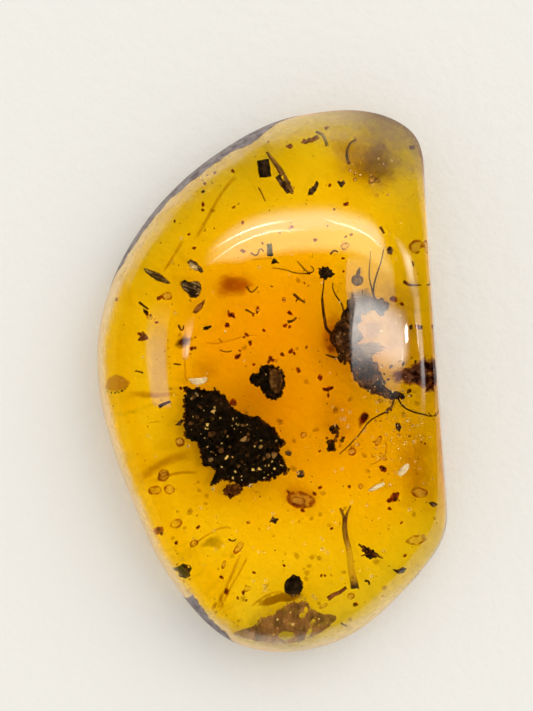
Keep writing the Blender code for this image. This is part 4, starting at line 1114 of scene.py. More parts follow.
seal(stems("plant_stalk_skin", STALK_ROUTES, 4), stalk_skin, "tan_stem", "plant_stalk")

# Bubbles and droplets
# Gas bubbles and droplets of thinner resin, round or pulled flat by the flow. The tiny ones bend the light at
# their own skin, so each shows as a ring with a bright heart; on the golden drops that ring and heart are
# painted, on flat skins and on pale grains.
drop = clear_resin("droplet", (0.96, 0.9, 0.6), 60.0, {"IOR": 1.22})


def droplets(name, spots, subdivisions=3):
    """One mesh of drops. Each spot is x, y, height, half length, half width and turn in degrees."""
    piece = new_ball(name, subdivisions)
    corners = points_of(piece)
    faces = np.array([face.vertices[:] for face in piece.data.polygons])
    points = []
    for x, y, height, long, wide, turn in spots:
        shape = corners * (long, wide, min(wide, 0.35) * 0.7)
        across, along = turned(shape[:, 0], shape[:, 1], math.radians(turn))
        points.append(np.column_stack([across + x, along + y, shape[:, 2] + height]))
    rebuild(piece, points, copied(faces, len(spots), len(corners)))
    return piece


GOLD_DROPS = (
    (5.39, 11.6, 3.2, 0.12, 0.1, 0), (5.63, 11.07, 3.2, 0.14, 0.11, 20), (5.66, 11.4, 3.2, 0.07, 0.07, 0),
    (5.89, 11.27, 3.2, 0.08, 0.08, 0), (7.28, 11.83, 2.9, 0.12, 0.1, 0), (7.03, 12.17, 2.9, 0.1, 0.08, 0),
    (6.59, 11.01, 3.2, 0.26, 0.2, 30), (6.95, 10.9, 3.2, 0.1, 0.1, 0), (6.77, 10.13, 3.4, 0.12, 0.1, 0),
    (7.39, 10.1, 3.3, 0.1, 0.08, 0), (5.23, 14.57, 1.9, 0.12, 0.1, 0), (7.83, 13.84, 1.9, 0.14, 0.1, 0),
    (8.8, 7.1, 3.2, 0.5, 0.4, 20), (-5.3, 5.3, 4.2, 0.32, 0.26, 0), (-6.37, 4.2, 3.4, 0.2, 0.18, 0),
    (-6.1, 4.0, 3.4, 0.1, 0.1, 0), (2.12, 10.87, 3.6, 0.13, 0.12, 0), (-0.3, 4.17, 4.6, 0.15, 0.12, 0),
    (1.2, 4.63, 4.4, 0.17, 0.12, 90), (4.39, -4.1, 4.0, 0.26, 0.24, 0), (1.75, -2.98, 4.2, 0.22, 0.18, 40),
    (5.9, -3.6, 3.6, 0.4, 0.16, 60), (6.1, -4.5, 3.4, 0.36, 0.14, 130), (-5.2, -2.87, 3.8, 0.27, 0.25, 0),
    (-6.75, -5.5, 3.0, 0.46, 0.26, 0), (-5.95, -5.5, 3.0, 0.34, 0.28, 0), (-5.15, -2.9, 3.4, 0.3, 0.26, 80),
    (-6.2, -4.75, 3.0, 0.4, 0.28, 30), (-5.23, -7.7, 3.0, 0.1, 0.1, 0), (-1.68, -7.64, 4.2, 0.13, 0.12, 0),
    (-5.67, -7.42, 3.0, 0.4, 0.26, 20), (-4.8, -8.6, 3.0, 0.3, 0.2, 30),
    (-2.0, -11.35, 2.8, 0.26, 0.15, 20), (3.77, -12.16, 2.4, 0.25, 0.2, 10),
    (4.75, -6.05, 3.8, 0.17, 0.16, 0), (4.1, -6.05, 3.9, 0.12, 0.12, 0), (8.0, -6.65, 2.8, 0.55, 0.3, -10),
    (1.35, -6.6, 4.2, 0.9, 0.5, -15), (1.2, -6.65, 4.5, 0.5, 0.28, -15), (-2.3, -9.0, 3.2, 0.5, 0.2, 50),
    (-3.9, -12.2, 2.0, 0.3, 0.1, 60), (-6.2, -4.56, 3.2, 0.34, 0.24, 10), (4.8, 7.4, 4.0, 0.3, 0.2, 20),
    (2.2, -12.6, 2.4, 0.3, 0.12, 20), (-3.2, -9.9, 3.0, 0.32, 0.12, 70))


def wobbled(x, y, long, wide, turn, wobble=0.12):
    """Corners of an uneven oval."""
    angle = np.linspace(0, math.tau, 14, endpoint=False)
    reach = 1 + chance.uniform(-wobble, wobble, 14)
    oval = turned(long * reach * np.cos(angle), wide * reach * np.sin(angle), math.radians(turn))
    return np.column_stack(oval) + (x, y)


# Flat skins for the golden drops with their light painted in: a darker ring where the edge would bend the
# light away, and a pale golden heart.
cell = Finish("resin_cell", {"Roughness": 0.4, "Specular IOR Level": 0.2})
cell_rim = cell.attribute("rim")
cell_patches = cell.noise(0.3, 3.0)
painted_dark_ring = (cell_rim + (cell_patches - 0.5) * 0.5).between(0.5, 0.82) * (1.0 - cell_rim.between(0.88, 1.0))
cell.vary("Base Color", cell.mixed(painted_dark_ring, (0.85, 0.55, 0.12, 1.0), (0.15, 0.035, 0.002, 1.0)))
cell_fill = (1.0 - cell_rim.between(0.85, 1.0)) * cell_patches.between(0.2, 0.7) * 0.45
cell_cover = painted_dark_ring * (cell_patches.between(0.3, 0.65) * 0.5 + 0.2) + cell_fill
painted_ring_and_heart = (1.0 - cell_rim.between(0.8, 1.0)) * (1.0 - painted_dark_ring) * 0.16 + painted_dark_ring * 0.1
cell.dye((0.4, 0.15, 0.0), cell_cover, painted_ring_and_heart)
cells = [(wobbled(x, y, long, wide, turn), height, 0.5) for x, y, height, long, wide, turn in GOLD_DROPS]
seal(skins("resin_cells", cells, 40, 8), cell, "amber")
BLOT_COUNT, BUBBLE_COUNT = 150, 170
BLOTS = []
while len(BLOTS) < BLOT_COUNT:
    x, y = chance.uniform((-8.4, -13.6), (8.8, 12.0))
    if y < -3.0 + 0.5 * x or chance.uniform() < 0.3:
        size = chance.uniform(0.07, 0.26)
        spot = wobbled(x, y, size, size * chance.uniform(0.5, 1.0), chance.uniform(0, 180), 0.25)
        BLOTS.append((spot, min(crown_over(x, y) - 0.9, chance.uniform(2.4, 4.0)), 0.5))
OLIVE = (0.3, 0.2, 0.03, 1.0)
blot = Finish("olive_blot", {"Base Color": OLIVE, "Roughness": 0.5, "Specular IOR Level": 0.1})
blot_fade = blot.frayed(blot.noise(0.3, 3.0), 0.6, 0.3, 1.0)
blot.dye((0.42, 0.3, 0.0), blot_fade * 0.55, blot_fade * 0.08)
seal(skins("olive_blots", BLOTS, 24, 6), blot, "amber")
TINY = []
while len(TINY) < BUBBLE_COUNT:
    x, y = chance.uniform((-8.6, -13.8), (8.9, 9.0))
    if y < -4.0 + 0.6 * x or chance.uniform() < 0.25:
        room = crown_over(x, y) - 1.6
        size = chance.uniform(0.035, 0.10)
        TINY.append((x, y, 1.2 + room * chance.uniform(0.2, 1.0), size * 1.2, size, chance.uniform(0, 180)))
seal(droplets("tiny_bubbles", TINY, 2), drop, "amber")

# Brown film
# A thin torn skin of brown plant tissue near the stone's near end. Its far edge is ragged like a comb, and
# light comes through where it is thin or holed.
FILM_FAR = (
    (-3.09, -13.71), (-1.97, -13.73), (-1.73, -13.47), (-1.42, -13.04), (-0.97, -13.01), (-0.56, -12.82),
    (-0.33, -12.67), (-0.09, -12.52), (0.15, -12.31), (0.6, -12.23), (0.87, -12.36), (1.1, -12.21),
    (1.37, -12.4), (1.52, -12.69), (1.9, -12.94), (2.33, -13.08), (2.99, -13.35))
FILM_NEAR = (
    (2.51, -13.77), (1.81, -14.17), (0.88, -14.5), (0.19, -14.6), (-0.59, -14.6), (-1.47, -14.42),
    (-2.34, -14.12))
TEETH, TOOTH, GAP = 70, 0.13, 0.16
teeth = np.linspace(0.0, len(FILM_FAR) - 1.0, TEETH)
comb = np.column_stack([np.interp(teeth, range(len(FILM_FAR)), column) for column in zip(*FILM_FAR)])
comb[:, 1] += np.where(np.arange(TEETH) % 2, TOOTH, -GAP) * chance.uniform(0.2, 1.5, TEETH)
film_skin = skins("brown_film_skin", [([*comb, *FILM_NEAR], LAYER - 0.35, 0.5)], 420, 14)
# Holes: x, y, half width, half depth and turn in degrees
HOLES = (
    (0.02, -14.12, 0.48, 0.24, 0), (1.31, -14.0, 0.48, 0.11, 60), (0.99, -13.04, 0.18, 0.16, 0),
    (1.2, -12.75, 0.12, 0.2, 0), (1.55, -13.4, 0.35, 0.06, 50))
spots = points_of(film_skin)
hole = np.full(len(spots), 9.0)
for x, y, half_width, half_depth, turn in HOLES:
    across, along = turned(spots[:, 0] - x, spots[:, 1] - y, -math.radians(turn))
    hole = np.minimum(hole, np.hypot(across / half_width, along / half_depth))
mark(film_skin, "hole", hole)
film = Finish("brown_film", {"Roughness": 0.45, "Specular IOR Level": 0.2})
film_grain = film.add("Mapping", {}, {"Vector": film.place(0.7), "Scale": (1.6, 0.6, 1.0)})
film_patch = film.add("TexNoise", {}, {"Vector": film_grain, "Scale": 1.0, "Detail": 6.0, "Roughness": 0.72})
FILM_TINTS = ((0.05, 0.016, 0.008), (0.2, 0.08, 0.035), (0.36, 0.18, 0.09))
film.vary("Base Color", film.ramp(film_patch.between(0.32, 0.68), *FILM_TINTS))
torn = film.noise(0.45, 4.0, 0.7, (4.0, 1.0, 0.0)).between(0.3, 0.5) * 0.3 + 0.62
film_edge = film.frayed(film_patch, 0.1, 0.96, 1.0)
film.vary("Alpha", (film.attribute("hole") + (film_patch - 0.5) * 1.2).between(0.85, 1.15) * torn * film_edge)
film.bump(film.noise(0.15, 4.0), 0.05)
seal(film_skin, film, "tan_stem", "brown_film")
FILM_DOTS = (
    (-0.42, -13.17, 0.05), (0.4, -13.5, 0.08), (0.48, -13.48, 0.07), (-0.45, -13.67, 0.045),
    (-0.7, -13.99, 0.05), (0.33, -12.83, 0.05), (1.9, -13.3, 0.05))
film_dots = [(x, y, LAYER - 0.1, radius, 0.93) for x, y, radius in FILM_DOTS]
seal(crumbs("film_dots", film_dots), frass, "tan_stem")

# Pale flakes
# White scale-like flakes and a cream grain, thin and brittle, sealed close under the polish, where the light
# reaches them.
pale = mottled("pale_flake", ((0.62, 0.44, 0.2), (0.86, 0.68, 0.4), (1.0, 0.9, 0.62)), 0.4, 0.45, 0.02)
PALE_SCRAPS = {
    "white_flake_long": (
        (6.85, -5.55), (6.95, -5.3), (7.25, -5.05), (7.5, -4.98), (7.55, -5.2), (7.3, -5.5), (7.05, -5.68)),
    "white_flake_low": (
        (5.15, -6.35), (5.25, -6.2), (5.7, -6.0), (6.05, -5.92), (6.1, -6.08), (5.75, -6.25), (5.35, -6.4)),
    "cream_grain": (
        (-4.45, 0.6), (-4.1, 0.62), (-3.8, 0.6), (-3.45, 0.66), (-3.37, 0.45), (-3.6, 0.28), (-4.0, 0.22),
        (-4.3, 0.36)),
}
for name, edge in PALE_SCRAPS.items():
    height = crown_over(*np.mean(edge, axis=0)) - 0.8
    seal(scrap(name, edge, 0.1, height, crumb=0.012, fullness=3.0), pale, "grey_scrap")

# Specks
# Dust, crumbs of bark and grains of sand that the running resin caught, strewn through the stone, each of its
# own size, and pale grains that paint the bright hearts of the golden drops.
SPECKS = (
    (4.19, 10.87, 0.09, 0.2), (0.92, 13.54, 0.06, 0.3), (4.24, 14.08, 0.1, 0.4), (7.32, 12.85, 0.07, 0.3),
    (3.5, 13.5, 0.12, 0.5), (2.95, 13.4, 0.12, 0.5), (2.0, 13.2, 0.09, 0.55), (5.0, 9.73, 0.14, 0.5),
    (4.34, 9.49, 0.07, 0.3), (4.9, 7.93, 0.08, 0.6), (5.2, 8.0, 0.08, 0.6), (3.18, 7.86, 0.1, 0.6),
    (1.9, 8.68, 0.08, 0.6), (-0.82, 9.11, 0.09, 0.6), (-0.91, 7.53, 0.13, 0.6), (0.21, 7.88, 0.07, 0.3),
    (2.70, 6.01, 0.09, 0.8), (4.65, 6.73, 0.09, 0.1), (4.63, 5.99, 0.07, 0.2), (2.4, 5.5, 0.06, 0.3),
    (7.3, 4.25, 0.2, 0.5), (7.75, 3.95, 0.1, 0.3), (8.16, 2.6, 0.14, 0.2), (8.6, 2.6, 0.2, 0.5),
    (8.75, 2.55, 0.12, 0.5), (7.67, -3.46, 0.06, 0.15), (8.5, -3.93, 0.07, 0.3), (8.3, -3.85, 0.05, 0.4),
    (6.12, -2.5, 0.06, 0.3), (2.57, -3.95, 0.08, 0.3), (1.46, 3.87, 0.13, 0.1), (1.2, 4.63, 0.07, 0.3),
    (-0.3, 4.3, 0.07, 0.4), (-0.35, 4.05, 0.08, 0.35), (-0.05, 3.03, 0.08, 0.45), (1.13, 3.18, 0.13, 0.5),
    (1.4, 3.12, 0.08, 0.5), (2.26, 1.9, 0.08, 0.4), (1.38, 1.75, 0.14, 0.4), (1.55, 1.6, 0.08, 0.4),
    (0.87, 1.6, 0.12, 0.45), (2.9, 0.15, 0.14, 0.5), (1.7, 0.65, 0.12, 0.55), (3.33, -0.52, 0.17, 0.35),
    (3.5, -0.45, 0.11, 0.4), (3.3, -0.85, 0.09, 0.4), (3.1, -0.5, 0.1, 0.45), (0.21, 1.42, 0.14, 0.15),
    (0.35, 1.3, 0.1, 0.3), (0.1, 1.25, 0.08, 0.2), (-5.75, 5.22, 0.16, 0.5), (-6.55, 4.46, 0.13, 0.2),
    (-6.3, 4.3, 0.08, 0.3), (-6.0, 3.87, 0.07, 0.5), (-7.0, 3.3, 0.1, 0.4), (-4.15, 2.28, 0.1, 0.3),
    (-2.05, 3.4, 0.13, 0.15), (-2.1, 3.55, 0.07, 0.3), (-1.85, 4.0, 0.14, 0.35), (-1.7, 3.9, 0.1, 0.3),
    (-1.95, 4.2, 0.07, 0.5), (-1.02, 2.85, 0.11, 0.35), (-1.2, 2.72, 0.07, 0.4), (-0.87, 2.4, 0.13, 0.5),
    (-1.46, 1.98, 0.07, 0.4), (-1.68, 1.64, 0.12, 0.3), (-1.5, 1.72, 0.08, 0.3), (-0.75, 1.15, 0.09, 0.5),
    (-2.5, 2.6, 0.07, 0.55), (-3.9, 2.9, 0.06, 0.4), (-4.9, 0.1, 0.08, 0.15), (-4.65, 0.05, 0.06, 0.2),
    (-4.39, 0.0, 0.06, 0.3), (-5.45, 2.85, 0.03, 0.2), (-5.46, 2.4, 0.03, 0.2), (-5.45, 1.9, 0.035, 0.2),
    (-5.44, 1.5, 0.03, 0.2), (-5.43, 1.0, 0.03, 0.3), (-2.95, 10.3, 0.1, 0.3), (-2.98, 9.97, 0.08, 0.3),
    (-1.26, 10.0, 0.09, 0.5), (-4.6, 9.45, 0.08, 0.3), (-3.87, 8.66, 0.07, 0.4), (-3.62, 7.88, 0.08, 0.3),
    (-2.78, 11.43, 0.08, 0.2), (-1.17, 12.04, 0.1, 0.5), (-2.16, 12.0, 0.09, 0.5), (-8.17, 5.3, 0.09, 0.6),
    (-6.7, -7.76, 0.21, 0.62), (-6.55, -7.9, 0.1, 0.1), (-4.49, -7.7, 0.11, 0.3), (-5.78, -8.5, 0.12, 0.5),
    (-1.68, -7.64, 0.06, 0.3), (-3.37, -10.58, 0.1, 0.5), (-1.57, -10.45, 0.09, 0.4),
    (-3.15, -11.39, 0.16, 0.6), (-2.23, -11.54, 0.1, 0.2), (-2.56, -11.8, 0.08, 0.2),
    (-2.08, -12.0, 0.07, 0.3), (4.0, -12.65, 0.12, 0.5), (6.55, -6.8, 0.22, 0.4), (6.75, -6.65, 0.14, 0.45),
    (6.3, -6.95, 0.14, 0.5), (6.26, -7.4, 0.1, 0.4), (6.9, -8.24, 0.1, 0.4), (6.1, -5.2, 0.2, 0.42),
    (6.0, -5.05, 0.1, 0.5), (6.95, -10.1, 0.12, 0.4), (4.1, -6.05, 0.06, 0.3), (2.48, -5.96, 0.12, 0.55),
    (2.96, -8.3, 0.1, 0.3), (0.17, -10.2, 0.09, 0.4), (2.2, -10.88, 0.08, 0.3), (2.4, -10.9, 0.07, 0.3),
    (0.56, 5.44, 0.06, 0.3), (-2.05, -0.88, 0.2, 0.64), (1.4, -7.2, 0.1, 0.5), (0.7, -6.1, 0.1, 0.5),
    (2.1, -6.3, 0.1, 0.5), (5.23, -2.2, 0.2, 0.4), (-7.6, -3.4, 0.04, 0.3), (-0.6, 3.9, 0.06, 0.4),
    (-6.9, -1.9, 0.04, 0.4), (3.9, 8.6, 0.06, 0.5), (-2.4, 8.9, 0.05, 0.4))
bits, blurs = [], []
for x, y, radius, tint in SPECKS:
    height = max(LAYER, crown_over(x, y) - 2.6)
    across, along = chance.normal(0.0, 0.3, 2) * radius
    size, shade = radius * chance.uniform(0.25, 0.5), tint * chance.uniform(0.2, 0.9)
    bits.append((x + across, y + along, height, size, shade))
    blur = wobbled(x, y, radius * 1.5, radius * chance.uniform(0.75, 1.2), chance.uniform(0, 180), 0.4)
    blurs.append((blur, height - 0.05, tint))
seal(crumbs("specks", bits, 0.5), dust, "dark_bark")
speck = Finish("speck", {"Roughness": 0.5, "Specular IOR Level": 0.05})
speck_edge = speck.attribute("rim") + (speck.noise(0.1, 3.0, 0.7) - 0.5) * 1.1
speck_tint = speck.attribute("tint")
SPECK_TINTS = ((0.012, 0.004, 0.001), (0.09, 0.028, 0.004), (0.2, 0.07, 0.01))
speck.vary("Base Color", speck.ramp(speck_tint, *SPECK_TINTS))
speck_body = (1.0 - speck_edge.between(0.25, 0.85)) * (1.05 - speck_tint)
speck.dye((0.4, 0.1, 0.0), 1.0 - speck_edge.between(0.7, 1.1), speck_body)
seal(skins("speck_skins", blurs, 24, 5), speck, "dark_bark")
MOTE_COUNT, PALE_COUNT = 420, 150
motes = []
while len(motes) < MOTE_COUNT:
    x, y = chance.uniform((-8.8, -14.0), (9.2, 14.0))
    room = crown_over(x, y) - 1.5
    height = 1.2 + room * chance.uniform(0.2, 0.9)
    motes.append((x, y, height, chance.uniform(0.015, 0.045), chance.uniform(0.3, 0.9)))
seal(crumbs("motes", motes, 0.4, 1), dust, "dark_bark")
# Pale grit; the last points, over the golden drops, are grains that paint their bright hearts.
PALE_GRIT_AND_HEARTS = (
    (-3.4, 0.85), (-6.9, 2.0), (7.8, -1.2), (7.6, -2.6), (8.4, -2.8), (8.3, -3.7), (7.0, -3.4),
    (-4.0, 0.15), (2.4, -8.9), (-0.9, -9.4), (7.6, 3.3), (6.5, 2.5), (-5.3, -0.25), (6.9, -0.9),
    (8.8, -3.6), (7.35, -3.9), (-2.2, 3.1), (7.01, 12.15), (7.27, 11.85), (7.73, 11.97), (8.12, 12.01),
    (5.4, 11.6), (5.67, 11.42), (5.94, 11.3), (5.65, 11.08), (7.43, 10.1), (7.85, 13.85), (5.2, 14.55))
grit_and_heart_spots = [(x, y, crown_over(x, y) - 0.7, 0.055, 1.0) for x, y in PALE_GRIT_AND_HEARTS]
while len(grit_and_heart_spots) < PALE_COUNT:
    x, y = chance.normal((7.2, -3.2), (1.2, 1.6))
    if 4.8 < x < 8.9:
        size, tint = chance.uniform(0.015, 0.04), chance.uniform(0.75, 1.0)
        grit_and_heart_spots.append((x, y, crown_over(x, y) - 0.8, size, tint))
seal(crumbs("pale_grit", grit_and_heart_spots), frass, "grey_scrap")

# Flow lines and stains
# Where one run of resin set before the next came over it, a thin brown seam shows, and here and there the
# seam widens to a stained veil.
def ribbons(name, routes, across=7):
    """One mesh of thin flat ribbons. Each route is its points, and its half width and height, all along or at
    each end."""
    points, faces, rims = [], [], []
    for places, widths, heights in routes:
        places = np.array(places, dtype=float)
        steps = np.linspace(0.0, 1.0, len(places))
        along = np.linspace(0.0, 1.0, 12 * len(places))
        x, y = (np.polyval(np.polyfit(steps, column, min(3, len(places) - 1)), along) for column in places.T)
        ahead = np.column_stack([np.gradient(x), np.gradient(y)])
        ahead /= np.linalg.norm(ahead, axis=1)[:, None]
        half = eased(widths, along)
        height = eased(heights, along)
        first = sum(len(part) for part in points)
        for lane in np.linspace(-1.0, 1.0, across):
            side = half * lane
            points.append(np.column_stack([x - ahead[:, 1] * side, y + ahead[:, 0] * side, height]))
            rims.append(np.maximum(abs(lane), abs(2 * along - 1) ** 3))
        corner = first + np.arange(len(along) - 1) + len(along) * np.arange(across - 1)[:, None]
        beside = corner + len(along)
        faces.append(np.stack([corner, corner + 1, beside + 1, beside], axis=-1).reshape(-1, 4))
    piece = new_ball(name, 1)
    rebuild(piece, np.concatenate(points), np.concatenate(faces))
    mark(piece, "rim", np.concatenate(rims))
    return piece


def stained(name, tint, most, softness):
    """Clear brown stain that is deepest in the middle and gone at the rim."""
    halved = (*(share * 0.5 for share in tint), 1.0)
    stain = Finish(name, {"Base Color": halved, "Roughness": 0.6, "Specular IOR Level": 0.1})
    fade = stain.frayed(stain.noise(0.7, 4.0, 0.6), 0.8, 0.95 - softness, 0.95)
    stain.dye(tint, fade * most, fade * 0.1)
    return stain


SEAMS = (
    (((-0.9, 11.8), (-1.65, 11.1), (-2.3, 10.2), (-2.96, 9.2), (-3.7, 8.1)), (0.15, 0.17), 3.0),
    (((-4.13, 8.45), (-4.87, 7.42), (-5.45, 6.62)), (0.16, 0.12), 2.8),
    (((-8.0, 0.0), (-7.0, -0.1), (-6.2, -0.2), (-5.0, -0.1)), (0.32, 0.2), (2.6, 3.2)),
    (((-2.15, -9.3), (-2.6, -10.1), (-3.2, -11.3), (-3.95, -12.4)), (0.1, 0.2), (2.8, 2.0)),
    (((-1.85, -9.5), (-2.3, -10.3), (-2.9, -11.2), (-3.5, -12.3)), (0.08, 0.12), (2.8, 2.0)),
    (((-3.3, -11.5), (-3.5, -11.8), (-3.45, -12.1), (-3.75, -12.35)), (0.16, 0.2), (2.4, 2.0)),
    (((-5.3, -9.0), (-4.4, -8.5), (-3.7, -7.9), (-2.9, -7.9), (-2.6, -8.1)), (0.1, 0.1), (3.0, 3.2)),
    (((-7.9, -4.9), (-6.8, -4.3), (-5.7, -3.8), (-4.4, -3.7)), (0.42, 0.4), (3.0, 3.2)),
    (((-6.95, -1.72), (-6.55, -1.68), (-6.1, -1.66)), (0.05, 0.05), 3.0),
    (((-0.56, 7.0), (0.1, 7.02), (0.76, 7.0)), (0.05, 0.05), 4.2),
    (((-6.9, -5.1), (-5.9, -4.7), (-5.0, -4.6), (-4.2, -4.7)), (0.16, 0.12), (3.0, 3.2)),
    (((-4.4, 3.7), (-4.5, 2.4), (-4.6, 1.2), (-4.5, 0.4)), (0.07, 0.07), 3.4),
    (((-3.6, 2.7), (-2.4, 2.5), (-1.2, 2.75), (-0.2, 2.6)), (0.06, 0.05), 3.2),
    (((5.2, -4.9), (5.9, -4.7), (6.3, -4.2), (6.2, -3.4)), (0.08, 0.06), 3.4),
    (((-1.9, -12.42), (-1.42, -12.05), (-0.95, -11.8), (-0.45, -11.64), (0.1, -11.62)), (0.09, 0.09), 2.7))
seal(ribbons("flow_seams", SEAMS), stained("flow_seam", (0.5, 0.27, 0.0), 0.6, 0.95), "amber")


def seal_veils(veils):
    """Seals stained skins. Each veil is its name, height, tint, most cover, softness and corners."""
    for name, height, tint, most, softness, corners in veils:
        seal(skins(name, [(corners, height, 0.0)]), stained(name, tint, most, softness), "amber")


VEILS = (
    ("olive_patch", 2.2, (0.42, 0.36, 0.0), 0.85, 0.85,
     ((5.2, 12.1), (5.9, 13.2), (7.1, 13.7), (8.3, 13.1), (8.9, 11.9), (8.3, 10.5), (7.1, 10.0),
      (5.8, 10.7))),
    ("orange_cloud", 2.6, (0.5, 0.22, 0.0), 0.95, 0.75,
     ((-3.0, 5.7), (-2.3, 6.5), (-1.2, 6.5), (-0.3, 6.2), (-0.1, 5.5), (-0.9, 4.9), (-2.2, 4.8),
      (-2.9, 5.1))),
    ("blurred_patch", 3.0, (0.1, 0.03, 0.02), 1.0, 0.75,
     ((-5.3, 2.5), (-4.9, 2.95), (-4.44, 3.2), (-3.9, 2.9), (-4.1, 2.5), (-4.78, 2.2))),
    ("purple_smudge", 2.9, (0.22, 0.04, 0.03), 1.0, 0.5,
     ((4.7, -2.3), (5.2, -1.75), (5.6, -2.1), (5.4, -2.5), (4.8, -3.0))),
    ("thorax_glow", 2.2, (0.6, 0.34, 0.0), 0.85, 0.75,
     ((3.2, 3.4), (3.7, 4.1), (4.4, 4.2), (4.6, 2.0), (4.4, 0.4), (3.4, 0.9), (2.9, 2.0))),
    ("olive_fold", 2.6, (0.42, 0.27, 0.0), 0.95, 0.35,
     ((-1.82, -12.4), (-1.4, -12.04), (-0.94, -11.79), (-0.48, -11.65), (0.08, -11.63), (1.08, -11.75),
      (1.52, -11.88), (1.17, -12.16), (0.38, -12.21), (-0.41, -12.22), (-0.98, -12.4), (-1.44, -12.59),
      (-1.72, -12.57))),
    ("left_fold", 3.0, (0.5, 0.42, 0.0), 0.75, 0.75,
     ((-4.9, -9.0), (-4.4, -8.5), (-3.9, -8.2), (-3.2, -8.05), (-2.8, -8.2), (-3.0, -8.8), (-3.2, -9.2),
      (-4.0, -8.9))),
    ("right_stain", 3.6, (0.62, 0.5, 0.3), 0.75, 0.9,
     ((5.4, 5.4), (7.0, 6.2), (9.2, 6.0), (9.3, 3.0), (9.3, 0.5), (7.4, -0.4), (6.0, 0.6), (5.5, 3.0))),
    ("leg_smudge", 2.8, (0.5, 0.25, 0.0), 0.85, 0.75,
     ((3.2, 1.9), (3.6, 2.15), (4.1, 1.9), (4.1, 1.4), (3.5, 1.3))))
seal_veils(VEILS)
PALE_BRANCH = ((6.9, -9.3), (7.5, -9.0), (8.1, -9.0), (8.3, -9.3), (7.7, -9.6), (7.2, -9.5))
seal(skins("pale_branch", [(PALE_BRANCH, 2.6, 0.0)]), cell, "amber")
CLOUDS = (
    ("far_shade", 1.9, (0.6, 0.46, 0.0), 0.85, 0.85,
     ((3.4, 13.6), (4.4, 14.4), (6.0, 14.4), (7.6, 13.6), (8.6, 12.4), (8.6, 10.6), (7.4, 9.6), (6.2, 10.0),
      (5.0, 10.9), (4.0, 12.2))),
    ("left_cloud", 2.2, (0.8, 0.7, 0.0), 0.85, 1.0,
     ((-4.4, 1.9), (-3.2, 2.1), (-2.3, 1.4), (-2.4, 0.5), (-3.4, 0.0), (-4.5, 0.6))),
    ("centre_cloud", 2.4, (0.7, 0.5, 0.0), 0.7, 0.75,
     ((0.4, -5.2), (1.4, -5.4), (2.6, -6.0), (2.9, -7.0), (2.0, -7.7), (0.8, -7.6), (0.0, -6.8),
      (-0.2, -5.9))),
    ("right_cloud", 2.3, (0.8, 0.65, 0.0), 0.5, 0.75,
     ((3.6, 0.4), (4.6, -0.6), (5.2, -1.6), (5.0, -3.4), (3.8, -4.6), (2.4, -3.8), (1.9, -2.0),
      (2.4, -0.2))),
    ("strip_shade", 3.4, (0.86, 0.84, 0.76), 0.9, 0.6,
     ((-6.5, 4.2), (-5.2, 4.1), (-5.3, 1.6), (-5.45, -0.7), (-6.75, -0.7), (-6.7, 1.8))),
    ("edge_shade", 2.1, (0.78, 0.6, 0.0), 0.9, 0.9,
     ((6.6, -3.2), (8.0, -1.9), (9.2, -1.7), (9.25, -5.0), (9.2, -8.4), (8.0, -8.8), (7.0, -7.6),
      (6.4, -5.4))),
    ("bar_cloud", 2.6, (0.6, 0.5, 0.5), 0.8, 0.8,
     ((5.2, 3.3), (6.1, 3.6), (6.8, 3.0), (6.6, 1.9), (5.8, 1.5), (5.2, 2.2))))
seal_veils(CLOUDS)

# Rim sheen and haze
# The polish gives out towards the rim: the skin there is finely scuffed and dusty, greyer round the far end.
# The milky band along the left side is painted reflection, the steep polish mirroring the white room, and the
# stone is tinted just inside the left rim. The sawn side has none.
SHEEN_AND_HAZE_ANGLES = (38, 64, 78, 120, 145, 250, 275, 314)
# At each of these angles: how high over the girdle the sheen and haze reach, as a share of the ball's
# radius, how opaque they get, and how soon
SHEEN_AND_HAZE_TOPS = (0.86, 0.82, 0.6, 0.6, 0.5, 0.48, 0.5, 0.5)
SHEEN_AND_HAZE_THICKNESS = (0.82, 0.8, 0.5, 0.55, 0.7, 0.64, 0.7, 0.7)
SHEEN_AND_HAZE_REACH = (1.25, 1.25, 1.25, 1.5, 2.1, 2.0, 1.4, 1.25)
SHEET_FOOT = 0.1
SHEEN_FROM, SHEEN_OVER = 82, 18


def on_ball(turn, level):
    """Points of a ball of radius 1 at these angles and heights."""
    spread = np.sqrt(1 - level ** 2)
    return np.column_stack([np.cos(turn) * spread, np.sin(turn) * spread, level])


def rim_sheet(name, angles, tops, proud):
    """Sheet just over the stone's skin, all along the rim between the first and the last angle. rim runs from
    0 at its upper edge to 1 at the girdle."""
    sheet = new_grid(name, 260, 16)
    grid = points_of(sheet) + 0.5
    turn = angles[0] + (angles[-1] - angles[0]) * grid[:, 0]
    top = np.interp(turn, angles, tops)
    level = -SHEET_FOOT + (top + SHEET_FOOT) * grid[:, 1]
    ball = on_ball(np.radians(turn), level)
    set_points(sheet, (pressed(ball) + ball * proud - stone_middle) * MM)
    ends = np.clip(np.minimum(grid[:, 0], 1 - grid[:, 0]) * 14, 0, 1)
    mark(sheet, "rim", (1 - np.clip(level / top, 0, 1)) * ends)
    sheet.visible_shadow = False
    sheet.visible_diffuse = False
    sheet.visible_transmission = False
    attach(sheet, "root")
    return sheet, turn


